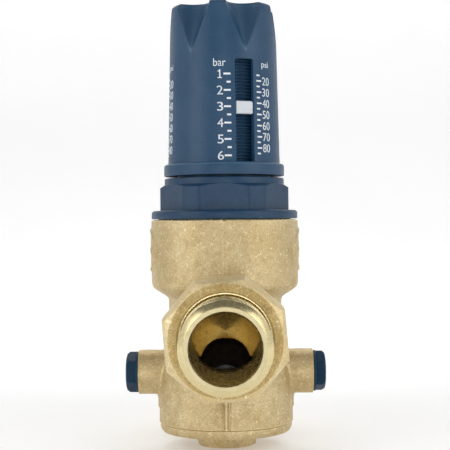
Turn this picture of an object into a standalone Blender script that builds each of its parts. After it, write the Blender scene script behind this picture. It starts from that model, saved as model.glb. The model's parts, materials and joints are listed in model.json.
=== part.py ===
"""Water pressure regulator with adjusting cap, spring bonnet, cast body and two pipe unions.

Frame: metres, +Z up along the valve axis, inlet towards -Y and outlet towards +Y.
The origin is on the valve axis at the underside of the bottom plug's hexagon.
Lengths below are in millimetres and angles in degrees; meshes are scaled to metres when they are made.
Heights are measured from the origin, and azimuths from -Y towards +X.
"""
import math

import bmesh
import bpy
from mathutils import Matrix, Vector

MM = 0.001
GAP = 0.3              # clearance between neighbouring pieces
RUNNING = 0.4          # clearance where one piece turns or slides in another
OVERSHOOT = 2.0        # how far a cutter runs past the face that it opens
MERGE = 1.0e-6         # metres

COARSE, MEDIUM, FINE = 18, 24, 32   # steps round a small, a middling and a large turned piece

# Adjusting cap
CAP_TOP = 180.4
CAP_FLANGE_LOW, CAP_FLANGE_HIGH = 110.7, 115.6
CAP_FLANGE_RADIUS = 24.85
CAP_RADIUS = 23.1                 # just above the flange
CAP_DRAFT = 1.0 / 47.0            # radius lost per millimetre of height
CAP_EDGE_FILLET = 1.8
CAP_BORE_RADIUS = 20.7
CAP_CEILING = 159.2               # inner ceiling over the neck
CAP_CORE_RADIUS = 12.0            # hollow round the hub
CAP_CORE_TOP = 175.4
HUB_RADIUS, HUB_LOW = 8.3, 162.0
SOCKET_TOP = 174.2                # top of the hexagonal socket for the spindle
SCREW_SEAT = 177.2
SCREW_RECESS_RADIUS = 7.5
WINDOW_AZIMUTH, WINDOW_COUNT = 22.4, 3
WINDOW_WIDTH, WINDOW_LOW, WINDOW_HIGH = 7.83, 115.9, 156.7
WINDOW_CORNER = 0.8
FLUTE_COUNT, FLUTE_AZIMUTH = 6, 24.4
FLUTE_APEX, FLUTE_CENTRE = 158.07, 23.2   # tip of the cone that cuts a flute, and its distance
FLUTE_RADIUS = 9.0                # of that cone at the cap's top

# Indicator ring
INDICATOR_MIDDLE, INDICATOR_HEIGHT = 137.3, 5.2
INDICATOR_BAND = 0.7              # wall of the ring behind the cap
INDICATOR_FACE_RADIUS = 22.4

# Bonnet
NECK_RADIUS, NECK_TOP = 19.4, 158.5
NECK_WALL_LOW = 153.3             # underside of the neck's end wall
COLLAR_RADIUS, COLLAR_LOW, COLLAR_HIGH = 24.7, 107.2, 109.8
HEXAGON_APOTHEM, HEXAGON_CORNER_RADIUS = 24.7, 26.6
HEXAGON_HIGH = 105.95
BONNET_FLANGE_RADIUS, BONNET_FLANGE_LOW, BONNET_FLANGE_HIGH = 30.2, 93.2, 96.6
BONNET_CORE_RADIUS = 24.0
SPIGOT_RADIUS, SPIGOT_LOW = 27.3, 75.9
SPRING_CHAMBER_RADIUS = 16.5
PLATE_CHAMBER_RADIUS, PLATE_CHAMBER_HIGH = 22.5, 84.0
CARRIER_GROOVE_DEPTH, CARRIER_GROOVE_WIDTH = 1.2, 4.4

# Spindle, carrier and spring
SPINDLE_LOW, SPINDLE_TOP = 104.0, 172.0
SPINDLE_RADIUS, JOURNAL_RADIUS = 5.0, 5.1
SPINDLE_COLLAR_RADIUS, SPINDLE_COLLAR_LOW, SPINDLE_COLLAR_HIGH = 9.0, 148.5, 151.5
SPINDLE_HEAD_APOTHEM, SPINDLE_HEAD_LOW = 4.4, 160.0
SCREW_RADIUS, SCREW_HOLE_LOW = 2.2, 162.5
CARRIER_LOW, CARRIER_HIGH, CARRIER_HUB_LOW = 131.0, 134.5, 119.0
CARRIER_RADIUS, CARRIER_HUB_RADIUS = 16.1, 8.5
SPRING_WIRE_RADIUS, SPRING_RADIUS = 2.0, 13.0
SPRING_END_TURNS, SPRING_END_PITCH, SPRING_ACTIVE_TURNS = 1.0, 4.5, 6.0
SPRING_POINTS_PER_TURN = 12

# Diaphragm, stem and seat
DIAPHRAGM_LOW, DIAPHRAGM_HIGH = 72.3, 74.3
SLIP_RING_LOW, SLIP_RING_HIGH = 74.6, 75.6
PLATE_LOW, PLATE_HIGH, PLATE_BOSS_HIGH = 74.6, 77.6, 80.0
PLATE_RADIUS, PLATE_BOSS_RADIUS = 21.8, 10.7
STEM_TOP, STEM_LOW = 85.0, 20.0
STEM_RADIUS, STEM_WAIST_RADIUS = 3.5, 4.5
STEM_BORE = STEM_RADIUS + GAP
PISTON_RADIUS, PISTON_LOW = 6.0, 56.0
STEM_FLANGE_RADIUS, STEM_FLANGE_LOW, STEM_FLANGE_HIGH = 10.0, 69.4, 72.0
STEM_NUT_LOW, STEM_NUT_HIGH, STEM_NUT_APOTHEM = 80.3, 84.3, 5.5
PISTON_GROOVE_MIDDLE = 62.2
SEAT_FLANGE_RADIUS, SEAT_FLANGE_HIGH = 17.0, 68.6
SEAT_LIP_LOW, SEAT_LIP_RADIUS, ORIFICE_RADIUS = 33.5, 9.3, 8.0
INSERT_RADIUS, INSERT_CAVITY_RADIUS, INSERT_LOW = 13.7, 11.0, 36.6
INSERT_CAVITY_LOW, INSERT_CAVITY_HIGH = 41.4, 57.0
INSERT_WINDOW_WIDTH, INSERT_WINDOW_LOW, INSERT_WINDOW_HIGH = 12.0, 43.5, 56.0
UPPER_SEAL_MIDDLE, LOWER_SEAL_MIDDLE = 61.4, 39.9
DISC_LOW, DISC_HIGH, DISC_RADIUS = 28.0, 31.0, 9.5
HOLDER_LOW, HOLDER_RADIUS, HOLDER_RIM_HIGH = 24.4, 11.0, 30.2
SEAL_NUT_LOW, SEAL_NUT_APOTHEM = 20.6, 6.5
SEAL_SECTION = 0.6                # radius of an O-ring's section
GROOVE_DEPTH, GROOVE_WIDTH = 1.5, 2.0

# Valve body
BODY_TOP, BODY_LOW = 92.9, 9.7
BOWL_RADIUS, BOWL_EDGE_HIGH, BOWL_CONE_HIGH, BOWL_CONE_LOW = 30.3, 66.4, 64.5, 61.0
BODY_NECK_RADIUS, SHOULDER_HIGH, SHOULDER_LOW = 23.3, 38.5, 30.5
LOWER_BODY_RADIUS = 27.6
BOWL_BORE_RADIUS, DIAPHRAGM_SEAT = 27.6, 72.0
PRESSURE_CHAMBER_RADIUS, PRESSURE_CHAMBER_LOW = 22.0, 66.3
CARTRIDGE_BORE_RADIUS = 14.0
STRAINER_CHAMBER_RADIUS, STRAINER_CHAMBER_HIGH = 18.5, 36.0
PLUG_BORE_RADIUS, PLUG_BORE_HIGH = 22.0, 17.3
FLOW_HEIGHT = 48.4
PORT_FACE, PORT_THREAD_RADIUS, PASSAGE_RADIUS = 50.0, 20.95, 13.5
PASSAGE_END, DRILL_APEX = 25.7, 17.6
OUTLET_PASSAGE_END = 8.0
INLET_DROP_START, INLET_DROP_END = (0, -38.0, 41.1), (0, -22.1, 31.9)
INLET_DROP_HALF_WIDTH = 10.2
INLET_DROP_ARCH, INLET_DROP_SOLE = 1.294, 0.343   # heights above and below its axis, over the half-width
INLET_LINK_HEIGHT, INLET_LINK_RADIUS = 28.0, 7.0
GAUGE_HEIGHT, GAUGE_BOSS_RADIUS, GAUGE_BOSS_END = 30.0, 9.1, 35.9
GAUGE_HOLE_RADIUS, GAUGE_HOLE_END = 5.9, 23.0
DUCT_RADIUS = 1.0
PRESSURE_DUCT_RADIUS, PRESSURE_DUCT_OFFSET = 2.0, 18.5
PAD_HEIGHT, PAD_HALF_WIDTH, PAD_HALF_HEIGHT, PAD_PROUD = 80.5, 12.0, 9.0, 0.6

# Bottom plug and strainer
PLUG_FLANGE_LOW, PLUG_FLANGE_HIGH, PLUG_FLANGE_RADIUS = 6.1, 9.4, 27.2
PLUG_SPIGOT_RADIUS, PLUG_SPIGOT_HIGH = 21.7, 17.0
PLUG_CUP_RADIUS, PLUG_CUP_FLOOR = 18.0, 11.9
PLUG_HEXAGON_APOTHEM, PLUG_HEXAGON_TURN = 11.5, 6.0
PLUG_GROOVE_MIDDLE = 14.0
STRAINER_LOW, STRAINER_HIGH = 12.2, 35.7
STRAINER_RADIUS, STRAINER_WALL = 16.2, 1.2
STRAINER_SLOT_WIDTH, STRAINER_SLOT_LOW, STRAINER_SLOT_HIGH = 9.0, 19.0, 33.0

# Gauge plugs, lengths measured outwards from the valve axis
GAUGE_PLUG_HEAD_LOW, GAUGE_PLUG_END = 36.2, 41.1
GAUGE_PLUG_APOTHEM, GAUGE_PLUG_CORNER_RADIUS, GAUGE_PLUG_TURN = 7.3, 8.45, 6.0
GAUGE_PLUG_SPIGOT_RADIUS, GAUGE_PLUG_SPIGOT_END = 5.6, 25.0
GAUGE_PLUG_GROOVE_MIDDLE = 31.5

# Unions, lengths measured outwards from the valve axis
NUT_INNER_END, NUT_OUTER_END, NUT_LIP_INNER = 41.0, 63.0, 59.0
NUT_APOTHEM, NUT_TURN, NUT_SIDES = 23.0, 4.7, 8
NUT_THREAD_RADIUS, NUT_LIP_RADIUS, NUT_RING_RADIUS = 21.3, 17.6, 20.5
NUT_CHAMFER_END = 58.9
TAIL_END, TAIL_RADIUS, TAIL_BORE_RADIUS = 90.0, 16.6, 12.46
TAIL_RING_INNER, TAIL_RING_OUTER, TAIL_CHAMFER = 12.9, 14.4, 2.0
TAIL_COLLAR_RADIUS, TAIL_COLLAR_INNER, TAIL_COLLAR_OUTER = 20.9, 52.4, 58.7
GASKET_INNER, GASKET_OUTER = 50.3, 52.1
GASKET_BORE_RADIUS, GASKET_RADIUS = 13.8, 20.0

# Finishes: colour, roughness, metallic
FINISHES = {
    "cap_plastic": ((0.055, 0.110, 0.195), 0.55, 0.0),
    "bonnet_plastic": ((0.030, 0.075, 0.155), 0.50, 0.0),
    "plug_plastic": ((0.012, 0.050, 0.115), 0.40, 0.0),
    "white_plastic": ((0.730, 0.760, 0.800), 0.45, 0.0),
    "cast_brass": ((0.580, 0.450, 0.205), 0.55, 0.9),
    "machined_brass": ((0.780, 0.640, 0.340), 0.25, 1.0),
    "steel": ((0.520, 0.530, 0.540), 0.35, 1.0),
    "rubber": ((0.020, 0.020, 0.022), 0.70, 0.0),
    "gasket_fibre": ((0.120, 0.160, 0.120), 0.85, 0.0),
}


def clear_scene():
    for old in list(bpy.data.objects):
        bpy.data.objects.remove(old, do_unlink=True)


def new_collection(name):
    collection = bpy.data.collections.new(name)
    bpy.context.scene.collection.children.link(collection)
    return collection


def arc(centre, radius, start, end, count):
    """Points of an arc in the (radius, height) plane, from one angle to another."""
    points = []
    for i in range(count + 1):
        angle = math.radians(start + (end - start) * i / count)
        points.append((centre[0] + radius * math.cos(angle), centre[1] + radius * math.sin(angle)))
    return points


# ---------------------------------------------------------------- building blocks

def add_object(name, mesh, collection):
    piece = bpy.data.objects.new(name, mesh)
    collection.objects.link(piece)
    return piece


def turned(name, profile, steps=FINE, collection=None):
    """Body of revolution about local Z. The profile runs from the top down its outer side,
    and closes on itself where it doesn't start on the axis."""
    count = len(profile)
    edges = [(i, i + 1) for i in range(count - 1)]
    if profile[0][0] > 0:
        edges.append((count - 1, 0))
    mesh = bpy.data.meshes.new(name)
    mesh.from_pydata([(radius * MM, 0, height * MM) for radius, height in profile], edges, [])
    piece = add_object(name, mesh, collection or PARTS)
    screw = piece.modifiers.new("turn", "SCREW")
    screw.axis = "Z"
    screw.angle = math.tau
    screw.steps = steps
    screw.render_steps = steps
    screw.use_merge_vertices = True
    screw.merge_threshold = MERGE
    return piece


def prism(name, sides, apothem, low, high, flat_angle=0.0, collection=None):
    """Regular prism along local Z, with the normal of one flat at flat_angle from local +X."""
    mesh = bpy.data.meshes.new(name)
    form = bmesh.new()
    radius = apothem / math.cos(math.pi / sides)
    bmesh.ops.create_cone(form, cap_ends=True, segments=sides, radius1=radius * MM,
                          radius2=radius * MM, depth=(high - low) * MM)
    corner = min(form.verts, key=lambda v: (round(v.co.z, 6), -round(v.co.y, 6), -round(v.co.x, 6)))
    corner_angle = math.atan2(corner.co.y, corner.co.x)
    turn = math.radians(flat_angle) + math.pi / sides - corner_angle
    bmesh.ops.rotate(form, verts=form.verts, matrix=Matrix.Rotation(turn, 3, "Z"))
    bmesh.ops.translate(form, verts=form.verts, vec=(0, 0, (high + low) / 2 * MM))
    form.to_mesh(mesh)
    form.free()
    return add_object(name, mesh, collection or CUTTERS)


def box(name, size, centre, corner=0.0):
    """Box cutter; a corner radius rounds its four edges that lie along local Y."""
    mesh = bpy.data.meshes.new(name)
    form = bmesh.new()
    bmesh.ops.create_cube(form, size=1.0)
    bmesh.ops.scale(form, verts=form.verts, vec=[length * MM for length in size])
    if corner:
        along_y = [e for e in form.edges if abs(e.verts[0].co.y - e.verts[1].co.y) > MM]
        bmesh.ops.bevel(form, geom=along_y, offset=corner * MM, segments=3, profile=0.5, affect="EDGES")
    bmesh.ops.translate(form, verts=form.verts, vec=[place * MM for place in centre])
    form.to_mesh(mesh)
    form.free()
    return add_object(name, mesh, CUTTERS)


def rod(name, start, end, radius, steps=20, upper=1.0, lower=1.0):
    """Cylinder cutter between two points; upper and lower stretch the halves of its section."""
    mesh = bpy.data.meshes.new(name)
    form = bmesh.new()
    first = Vector(start) * MM
    last = Vector(end) * MM
    along = last - first
    bmesh.ops.create_cone(form, cap_ends=True, segments=steps, radius1=radius * MM,
                          radius2=radius * MM, depth=along.length)
    for vertex in form.verts:
        vertex.co.y *= upper if vertex.co.y > 0 else lower
    bmesh.ops.rotate(form, verts=form.verts, matrix=along.to_track_quat("Z", "Y").to_matrix())
    bmesh.ops.translate(form, verts=form.verts, vec=(first + last) / 2)
    form.to_mesh(mesh)
    form.free()
    return add_object(name, mesh, CUTTERS)


def boolean(piece, other, operation):
    other.hide_render = True
    other.display_type = "WIRE"
    modifier = piece.modifiers.new(operation.lower(), "BOOLEAN")
    modifier.operation = operation
    modifier.solver = "EXACT"
    modifier.object = other


def cut(piece, other):
    boolean(piece, other, "DIFFERENCE")


def join(piece, other):
    boolean(piece, other, "UNION")


def trim(piece, other):
    boolean(piece, other, "INTERSECT")


def point(piece, direction, height):
    """Turn a piece's local Z towards a horizontal direction, about a centre on the valve axis."""
    turns = {
        "inlet": (math.pi / 2, 0, 0),
        "outlet": (math.pi / 2, 0, math.pi),
        "right": (math.pi / 2, 0, math.pi / 2),
        "left": (math.pi / 2, 0, -math.pi / 2),
    }
    piece.rotation_euler = turns[direction]
    piece.location = (0, 0, height * MM)


def spun(piece, azimuth):
    piece.rotation_euler.z = math.radians(azimuth)
    return piece


def finish(piece, finish_name):
    """Give a piece its own material."""
    colour, roughness, metallic = FINISHES[finish_name]
    material = bpy.data.materials.new(piece.name)
    material.use_nodes = True
    shader = material.node_tree.nodes["Principled BSDF"]
    shader.inputs["Base Color"].default_value = (*colour, 1.0)
    shader.inputs["Roughness"].default_value = roughness
    shader.inputs["Metallic"].default_value = metallic
    material.diffuse_color = (*colour, 1.0)
    piece.data.materials.append(material)


def o_ring(name, radius, height=0.0):
    """Seal with a six-sided section, centred on local Z."""
    section = [(radius + SEAL_SECTION * math.cos(math.radians(angle)),
                height + SEAL_SECTION * math.sin(math.radians(angle)))
               for angle in range(90, -270, -60)]
    ring = turned(name, section, COARSE)
    finish(ring, "rubber")
    return ring


def groove(radius, middle):
    """Profile points of a seal groove, from the top down, in a turned piece of this radius."""
    high, low = middle + GROOVE_WIDTH / 2, middle - GROOVE_WIDTH / 2
    return [(radius, high), (radius - GROOVE_DEPTH, high), (radius - GROOVE_DEPTH, low), (radius, low)]


def seal_radius(radius):
    """Middle radius of the seal that sits in such a groove."""
    return radius - SEAL_SECTION


# ---------------------------------------------------------------- cap and indicator

def cap_radius(height):
    return CAP_RADIUS - CAP_DRAFT * (height - CAP_FLANGE_HIGH)


def make_adjusting_cap():
    edge = CAP_TOP - CAP_EDGE_FILLET
    side = cap_radius(edge)
    profile = [(SCREW_RECESS_RADIUS, CAP_TOP)]
    profile += arc((side - CAP_EDGE_FILLET, edge), CAP_EDGE_FILLET, 90, 0, 3)
    profile.append((CAP_RADIUS, CAP_FLANGE_HIGH + 0.3))
    profile += arc((CAP_FLANGE_RADIUS - 1.2, CAP_FLANGE_HIGH - 1.2), 1.2, 90, 0, 3)
    profile += [
        (CAP_FLANGE_RADIUS, CAP_FLANGE_LOW),
        (CAP_BORE_RADIUS, CAP_FLANGE_LOW),
        (CAP_BORE_RADIUS, CAP_CEILING),
        (CAP_CORE_RADIUS, CAP_CEILING),
        (CAP_CORE_RADIUS, CAP_CORE_TOP),
        (HUB_RADIUS, CAP_CORE_TOP),
        (HUB_RADIUS, HUB_LOW),
        (SCREW_RADIUS + RUNNING, HUB_LOW),
        (SCREW_RADIUS + RUNNING, SCREW_SEAT),
        (SCREW_RECESS_RADIUS, SCREW_SEAT),
    ]
    cap = turned("adjusting_cap", profile)
    cut(cap, prism("cap_socket_cutter", 6, SPINDLE_HEAD_APOTHEM + GAP, HUB_LOW - OVERSHOOT, SOCKET_TOP,
                   WINDOW_AZIMUTH))
    window_height = WINDOW_HIGH - WINDOW_LOW
    for i in range(WINDOW_COUNT):
        window = box(f"window_cutter_{i + 1}", (WINDOW_WIDTH, 6.0, window_height),
                     (0, -CAP_BORE_RADIUS - 1.0, (WINDOW_HIGH + WINDOW_LOW) / 2), WINDOW_CORNER)
        cut(cap, spun(window, WINDOW_AZIMUTH + 360 / WINDOW_COUNT * i))
    height = CAP_TOP + OVERSHOOT - FLUTE_APEX
    for i in range(FLUTE_COUNT):
        mesh = bpy.data.meshes.new(f"flute_cutter_{i + 1}")
        form = bmesh.new()
        top_radius = FLUTE_RADIUS * height / (CAP_TOP - FLUTE_APEX)
        bmesh.ops.create_cone(form, cap_ends=True, segments=24, radius1=0, radius2=top_radius * MM,
                              depth=height * MM)
        bmesh.ops.translate(form, verts=form.verts,
                            vec=(0, -FLUTE_CENTRE * MM, (FLUTE_APEX + height / 2) * MM))
        form.to_mesh(mesh)
        form.free()
        flute = add_object(mesh.name, mesh, CUTTERS)
        cut(cap, spun(flute, FLUTE_AZIMUTH + 360 / FLUTE_COUNT * i))
    finish(cap, "cap_plastic")


def make_cap_screw():
    head_low = SCREW_SEAT + GAP
    profile = [
        (0, head_low + 2.2),
        (2.8, head_low + 2.0),
        (4.4, head_low + 1.0),
        (4.4, head_low),
        (SCREW_RADIUS, head_low),
        (SCREW_RADIUS, SCREW_HOLE_LOW + 1.5),
        (0, SCREW_HOLE_LOW + 0.8),
    ]
    screw = turned("cap_screw", profile, COARSE)
    for i, size in enumerate([(4.6, 0.9, 2.4), (0.9, 4.6, 2.4)]):
        cut(screw, box(f"drive_cutter_{i + 1}", size, (0, 0, head_low + 2.2)))
    finish(screw, "steel")


def make_indicator_ring():
    inner = NECK_RADIUS + GAP
    low = INDICATOR_MIDDLE - INDICATOR_HEIGHT / 2
    high = INDICATOR_MIDDLE + INDICATOR_HEIGHT / 2
    inset = 0.2
    band = turned("indicator_ring", [
        (inner + INDICATOR_BAND, high - inset),
        (inner + INDICATOR_BAND, low + inset),
        (inner, low + inset),
        (inner, high - inset),
    ])
    middle = inner + INDICATOR_BAND / 2
    face = INDICATOR_FACE_RADIUS
    for i in range(WINDOW_COUNT):
        lug = box(f"lug_block_{i + 1}", (WINDOW_WIDTH - 2 * GAP, 8.0, INDICATOR_HEIGHT * 2),
                  (0, -INDICATOR_FACE_RADIUS, INDICATOR_MIDDLE))
        trim(lug, turned(f"lug_rim_{i + 1}", [
            (face - 0.5, high), (face, high - 0.5), (face, low + 0.5), (face - 0.5, low),
            (middle, low), (middle, high),
        ], FINE, CUTTERS))
        join(band, spun(lug, WINDOW_AZIMUTH + 360 / WINDOW_COUNT * i))
    finish(band, "white_plastic")


# ---------------------------------------------------------------- bonnet, spindle and spring

def make_bonnet():
    profile = [
        (NECK_RADIUS - 0.6, NECK_TOP),
        (NECK_RADIUS, NECK_TOP - 0.6),
        (NECK_RADIUS, COLLAR_HIGH),
        (COLLAR_RADIUS - 0.6, COLLAR_HIGH),
        (COLLAR_RADIUS, COLLAR_HIGH - 0.6),
        (COLLAR_RADIUS, COLLAR_LOW),
        (BONNET_CORE_RADIUS, COLLAR_LOW - 0.4),
        (BONNET_CORE_RADIUS, BONNET_FLANGE_HIGH),
    ]
    profile += arc((BONNET_FLANGE_RADIUS - 1.5, BONNET_FLANGE_HIGH - 1.5), 1.5, 90, 0, 3)
    profile += [
        (BONNET_FLANGE_RADIUS, BONNET_FLANGE_LOW),
        (SPIGOT_RADIUS, BONNET_FLANGE_LOW),
        (SPIGOT_RADIUS, SPIGOT_LOW + 0.5),
        (SPIGOT_RADIUS - 0.5, SPIGOT_LOW),
        (PLATE_CHAMBER_RADIUS, SPIGOT_LOW),
        (PLATE_CHAMBER_RADIUS, PLATE_CHAMBER_HIGH),
        (SPRING_CHAMBER_RADIUS, PLATE_CHAMBER_HIGH + 4.0),
        (SPRING_CHAMBER_RADIUS, NECK_WALL_LOW),
        (JOURNAL_RADIUS + RUNNING, NECK_WALL_LOW),
        (JOURNAL_RADIUS + RUNNING, NECK_TOP),
    ]
    bonnet = turned("bonnet", profile)
    hexagon = prism("bonnet_hexagon", 6, HEXAGON_APOTHEM, BONNET_FLANGE_HIGH - 1.0, COLLAR_LOW + 1.0, 90)
    trim(hexagon, turned("hexagon_corners", [
        (BONNET_CORE_RADIUS, COLLAR_LOW + 0.46),
        (HEXAGON_CORNER_RADIUS, HEXAGON_HIGH),
        (HEXAGON_CORNER_RADIUS, BONNET_FLANGE_HIGH - 0.5),
        (SPRING_CHAMBER_RADIUS + 2.0, BONNET_FLANGE_HIGH - 0.5),
        (SPRING_CHAMBER_RADIUS + 2.0, COLLAR_LOW + 0.46),
    ], FINE, CUTTERS))
    join(bonnet, hexagon)
    groove_low, groove_high = PLATE_CHAMBER_HIGH + 2.0, SPINDLE_COLLAR_LOW
    reach = SPRING_CHAMBER_RADIUS + CARRIER_GROOVE_DEPTH
    cut(bonnet, box("carrier_groove_cutter", (2 * reach, CARRIER_GROOVE_WIDTH, groove_high - groove_low),
                    (0, 0, (groove_high + groove_low) / 2)))
    finish(bonnet, "bonnet_plastic")


def make_adjusting_spindle():
    head_radius = SPINDLE_HEAD_APOTHEM - 0.3
    profile = [
        (head_radius, SPINDLE_TOP),
        (head_radius, SPINDLE_HEAD_LOW - 0.5),
        (JOURNAL_RADIUS, SPINDLE_HEAD_LOW - 0.5),
        (JOURNAL_RADIUS, SPINDLE_COLLAR_HIGH),
        (SPINDLE_COLLAR_RADIUS, SPINDLE_COLLAR_HIGH),
        (SPINDLE_COLLAR_RADIUS, SPINDLE_COLLAR_LOW),
        (SPINDLE_RADIUS, SPINDLE_COLLAR_LOW),
        (SPINDLE_RADIUS, SPINDLE_LOW + 0.8),
        (SPINDLE_RADIUS - 0.8, SPINDLE_LOW),
        (0, SPINDLE_LOW),
        (0, SCREW_HOLE_LOW),
        (SCREW_RADIUS + GAP, SCREW_HOLE_LOW),
        (SCREW_RADIUS + GAP, SPINDLE_TOP),
    ]
    spindle = turned("adjusting_spindle", profile, COARSE)
    head = prism("spindle_head", 6, SPINDLE_HEAD_APOTHEM, SPINDLE_HEAD_LOW, SPINDLE_TOP - 0.2, WINDOW_AZIMUTH)
    cut(head, rod("spindle_head_bore", (0, 0, SPINDLE_HEAD_LOW - 1), (0, 0, SPINDLE_TOP + 1), head_radius - 0.4))
    join(spindle, head)
    finish(spindle, "machined_brass")


def make_thrust_washer():
    low, high = SPINDLE_COLLAR_HIGH + GAP, NECK_WALL_LOW - GAP
    outer, inner = SPINDLE_COLLAR_RADIUS + 0.5, JOURNAL_RADIUS + RUNNING
    washer = turned("thrust_washer", [(outer, high), (outer, low), (inner, low), (inner, high)], COARSE)
    finish(washer, "steel")


def make_spring_carrier():
    bore = SPINDLE_RADIUS + GAP
    carrier = turned("spring_carrier", [
        (CARRIER_RADIUS, CARRIER_HIGH),
        (CARRIER_RADIUS, CARRIER_LOW),
        (CARRIER_HUB_RADIUS, CARRIER_LOW),
        (CARRIER_HUB_RADIUS - 0.6, CARRIER_HUB_LOW),
        (bore, CARRIER_HUB_LOW),
        (bore, CARRIER_HIGH),
    ], MEDIUM)
    reach = SPRING_CHAMBER_RADIUS + CARRIER_GROOVE_DEPTH - GAP
    for side in (-1, 1):
        inner = CARRIER_RADIUS - 2.0
        key = box(f"carrier_key_{'left' if side < 0 else 'right'}",
                  (reach - inner, CARRIER_GROOVE_WIDTH - 2 * GAP, CARRIER_HIGH - CARRIER_LOW - 0.4),
                  (side * (reach + inner) / 2, 0, (CARRIER_HIGH + CARRIER_LOW) / 2))
        join(carrier, key)
    finish(carrier, "machined_brass")


def spring_height(turn):
    """Height of the wire's centre after this many turns: close end turns, open turns between."""
    low = PLATE_HIGH + GAP + SPRING_WIRE_RADIUS
    high = CARRIER_LOW - GAP - SPRING_WIRE_RADIUS
    end_rise = SPRING_END_TURNS * SPRING_END_PITCH
    active_pitch = (high - low - 2 * end_rise) / SPRING_ACTIVE_TURNS
    if turn < SPRING_END_TURNS:
        return low + turn * SPRING_END_PITCH
    if turn < SPRING_END_TURNS + SPRING_ACTIVE_TURNS:
        return low + end_rise + (turn - SPRING_END_TURNS) * active_pitch
    past = turn - SPRING_END_TURNS - SPRING_ACTIVE_TURNS
    return high - end_rise + past * SPRING_END_PITCH


def make_pressure_spring():
    turns = 2 * SPRING_END_TURNS + SPRING_ACTIVE_TURNS
    count = int(turns * SPRING_POINTS_PER_TURN) + 1
    curve = bpy.data.curves.new("pressure_spring", "CURVE")
    curve.dimensions = "3D"
    curve.bevel_depth = SPRING_WIRE_RADIUS * MM
    curve.bevel_resolution = 2
    curve.use_fill_caps = True
    wire = curve.splines.new("POLY")
    wire.points.add(count - 1)
    for i in range(count):
        turn = i / SPRING_POINTS_PER_TURN
        angle = math.tau * turn
        wire.points[i].co = (SPRING_RADIUS * math.cos(angle) * MM, SPRING_RADIUS * math.sin(angle) * MM,
                             spring_height(turn) * MM, 1.0)
    spring = bpy.data.objects.new("pressure_spring", curve)
    PARTS.objects.link(spring)
    finish(spring, "steel")


# ---------------------------------------------------------------- diaphragm, stem and seat

def flat_ring(name, outer, inner, low, high, finish_name, steps=MEDIUM):
    ring = turned(name, [(outer, high), (outer, low), (inner, low), (inner, high)], steps)
    finish(ring, finish_name)
    return ring


def make_diaphragm_group():
    flat_ring("diaphragm", SPIGOT_RADIUS, STEM_BORE, DIAPHRAGM_LOW, DIAPHRAGM_HIGH, "rubber")
    flat_ring("slip_ring", SPIGOT_RADIUS, PLATE_CHAMBER_RADIUS + 0.1, SLIP_RING_LOW, SLIP_RING_HIGH,
              "steel")
    plate = turned("diaphragm_plate", [
        (PLATE_BOSS_RADIUS, PLATE_BOSS_HIGH),
        (PLATE_BOSS_RADIUS, PLATE_HIGH),
        (PLATE_RADIUS - 0.8, PLATE_HIGH),
        (PLATE_RADIUS, PLATE_HIGH - 0.8),
        (PLATE_RADIUS, PLATE_LOW),
        (STEM_BORE, PLATE_LOW),
        (STEM_BORE, PLATE_BOSS_HIGH),
    ], MEDIUM)
    finish(plate, "steel")


def hexagon_nut(name, apothem, low, high):
    """Small hexagonal nut with chamfered corners on the stem."""
    corner = apothem / math.cos(math.pi / 6)
    nut = turned(name, [
        (apothem, high), (corner + 0.2, high - 0.7), (corner + 0.2, low + 0.7), (apothem, low),
        (STEM_BORE, low), (STEM_BORE, high),
    ], COARSE)
    trim(nut, prism(f"{name}_flats", 6, apothem, low - 1.0, high + 1.0))
    finish(nut, "steel")


def make_valve_stem():
    profile = [(0, STEM_TOP), (STEM_RADIUS - 0.6, STEM_TOP), (STEM_RADIUS, STEM_TOP - 0.6),
               (STEM_RADIUS, STEM_FLANGE_HIGH), (STEM_FLANGE_RADIUS, STEM_FLANGE_HIGH),
               (STEM_FLANGE_RADIUS, STEM_FLANGE_LOW), (PISTON_RADIUS, STEM_FLANGE_LOW)]
    profile += groove(PISTON_RADIUS, PISTON_GROOVE_MIDDLE)
    profile += [(PISTON_RADIUS, PISTON_LOW), (STEM_WAIST_RADIUS, PISTON_LOW),
                (STEM_WAIST_RADIUS, DISC_HIGH + GAP), (STEM_RADIUS, DISC_HIGH + GAP),
                (STEM_RADIUS, STEM_LOW + 0.6), (STEM_RADIUS - 0.6, STEM_LOW), (0, STEM_LOW)]
    finish(turned("valve_stem", profile, COARSE), "machined_brass")
    o_ring("piston_seal", seal_radius(PISTON_RADIUS), PISTON_GROOVE_MIDDLE)


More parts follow.
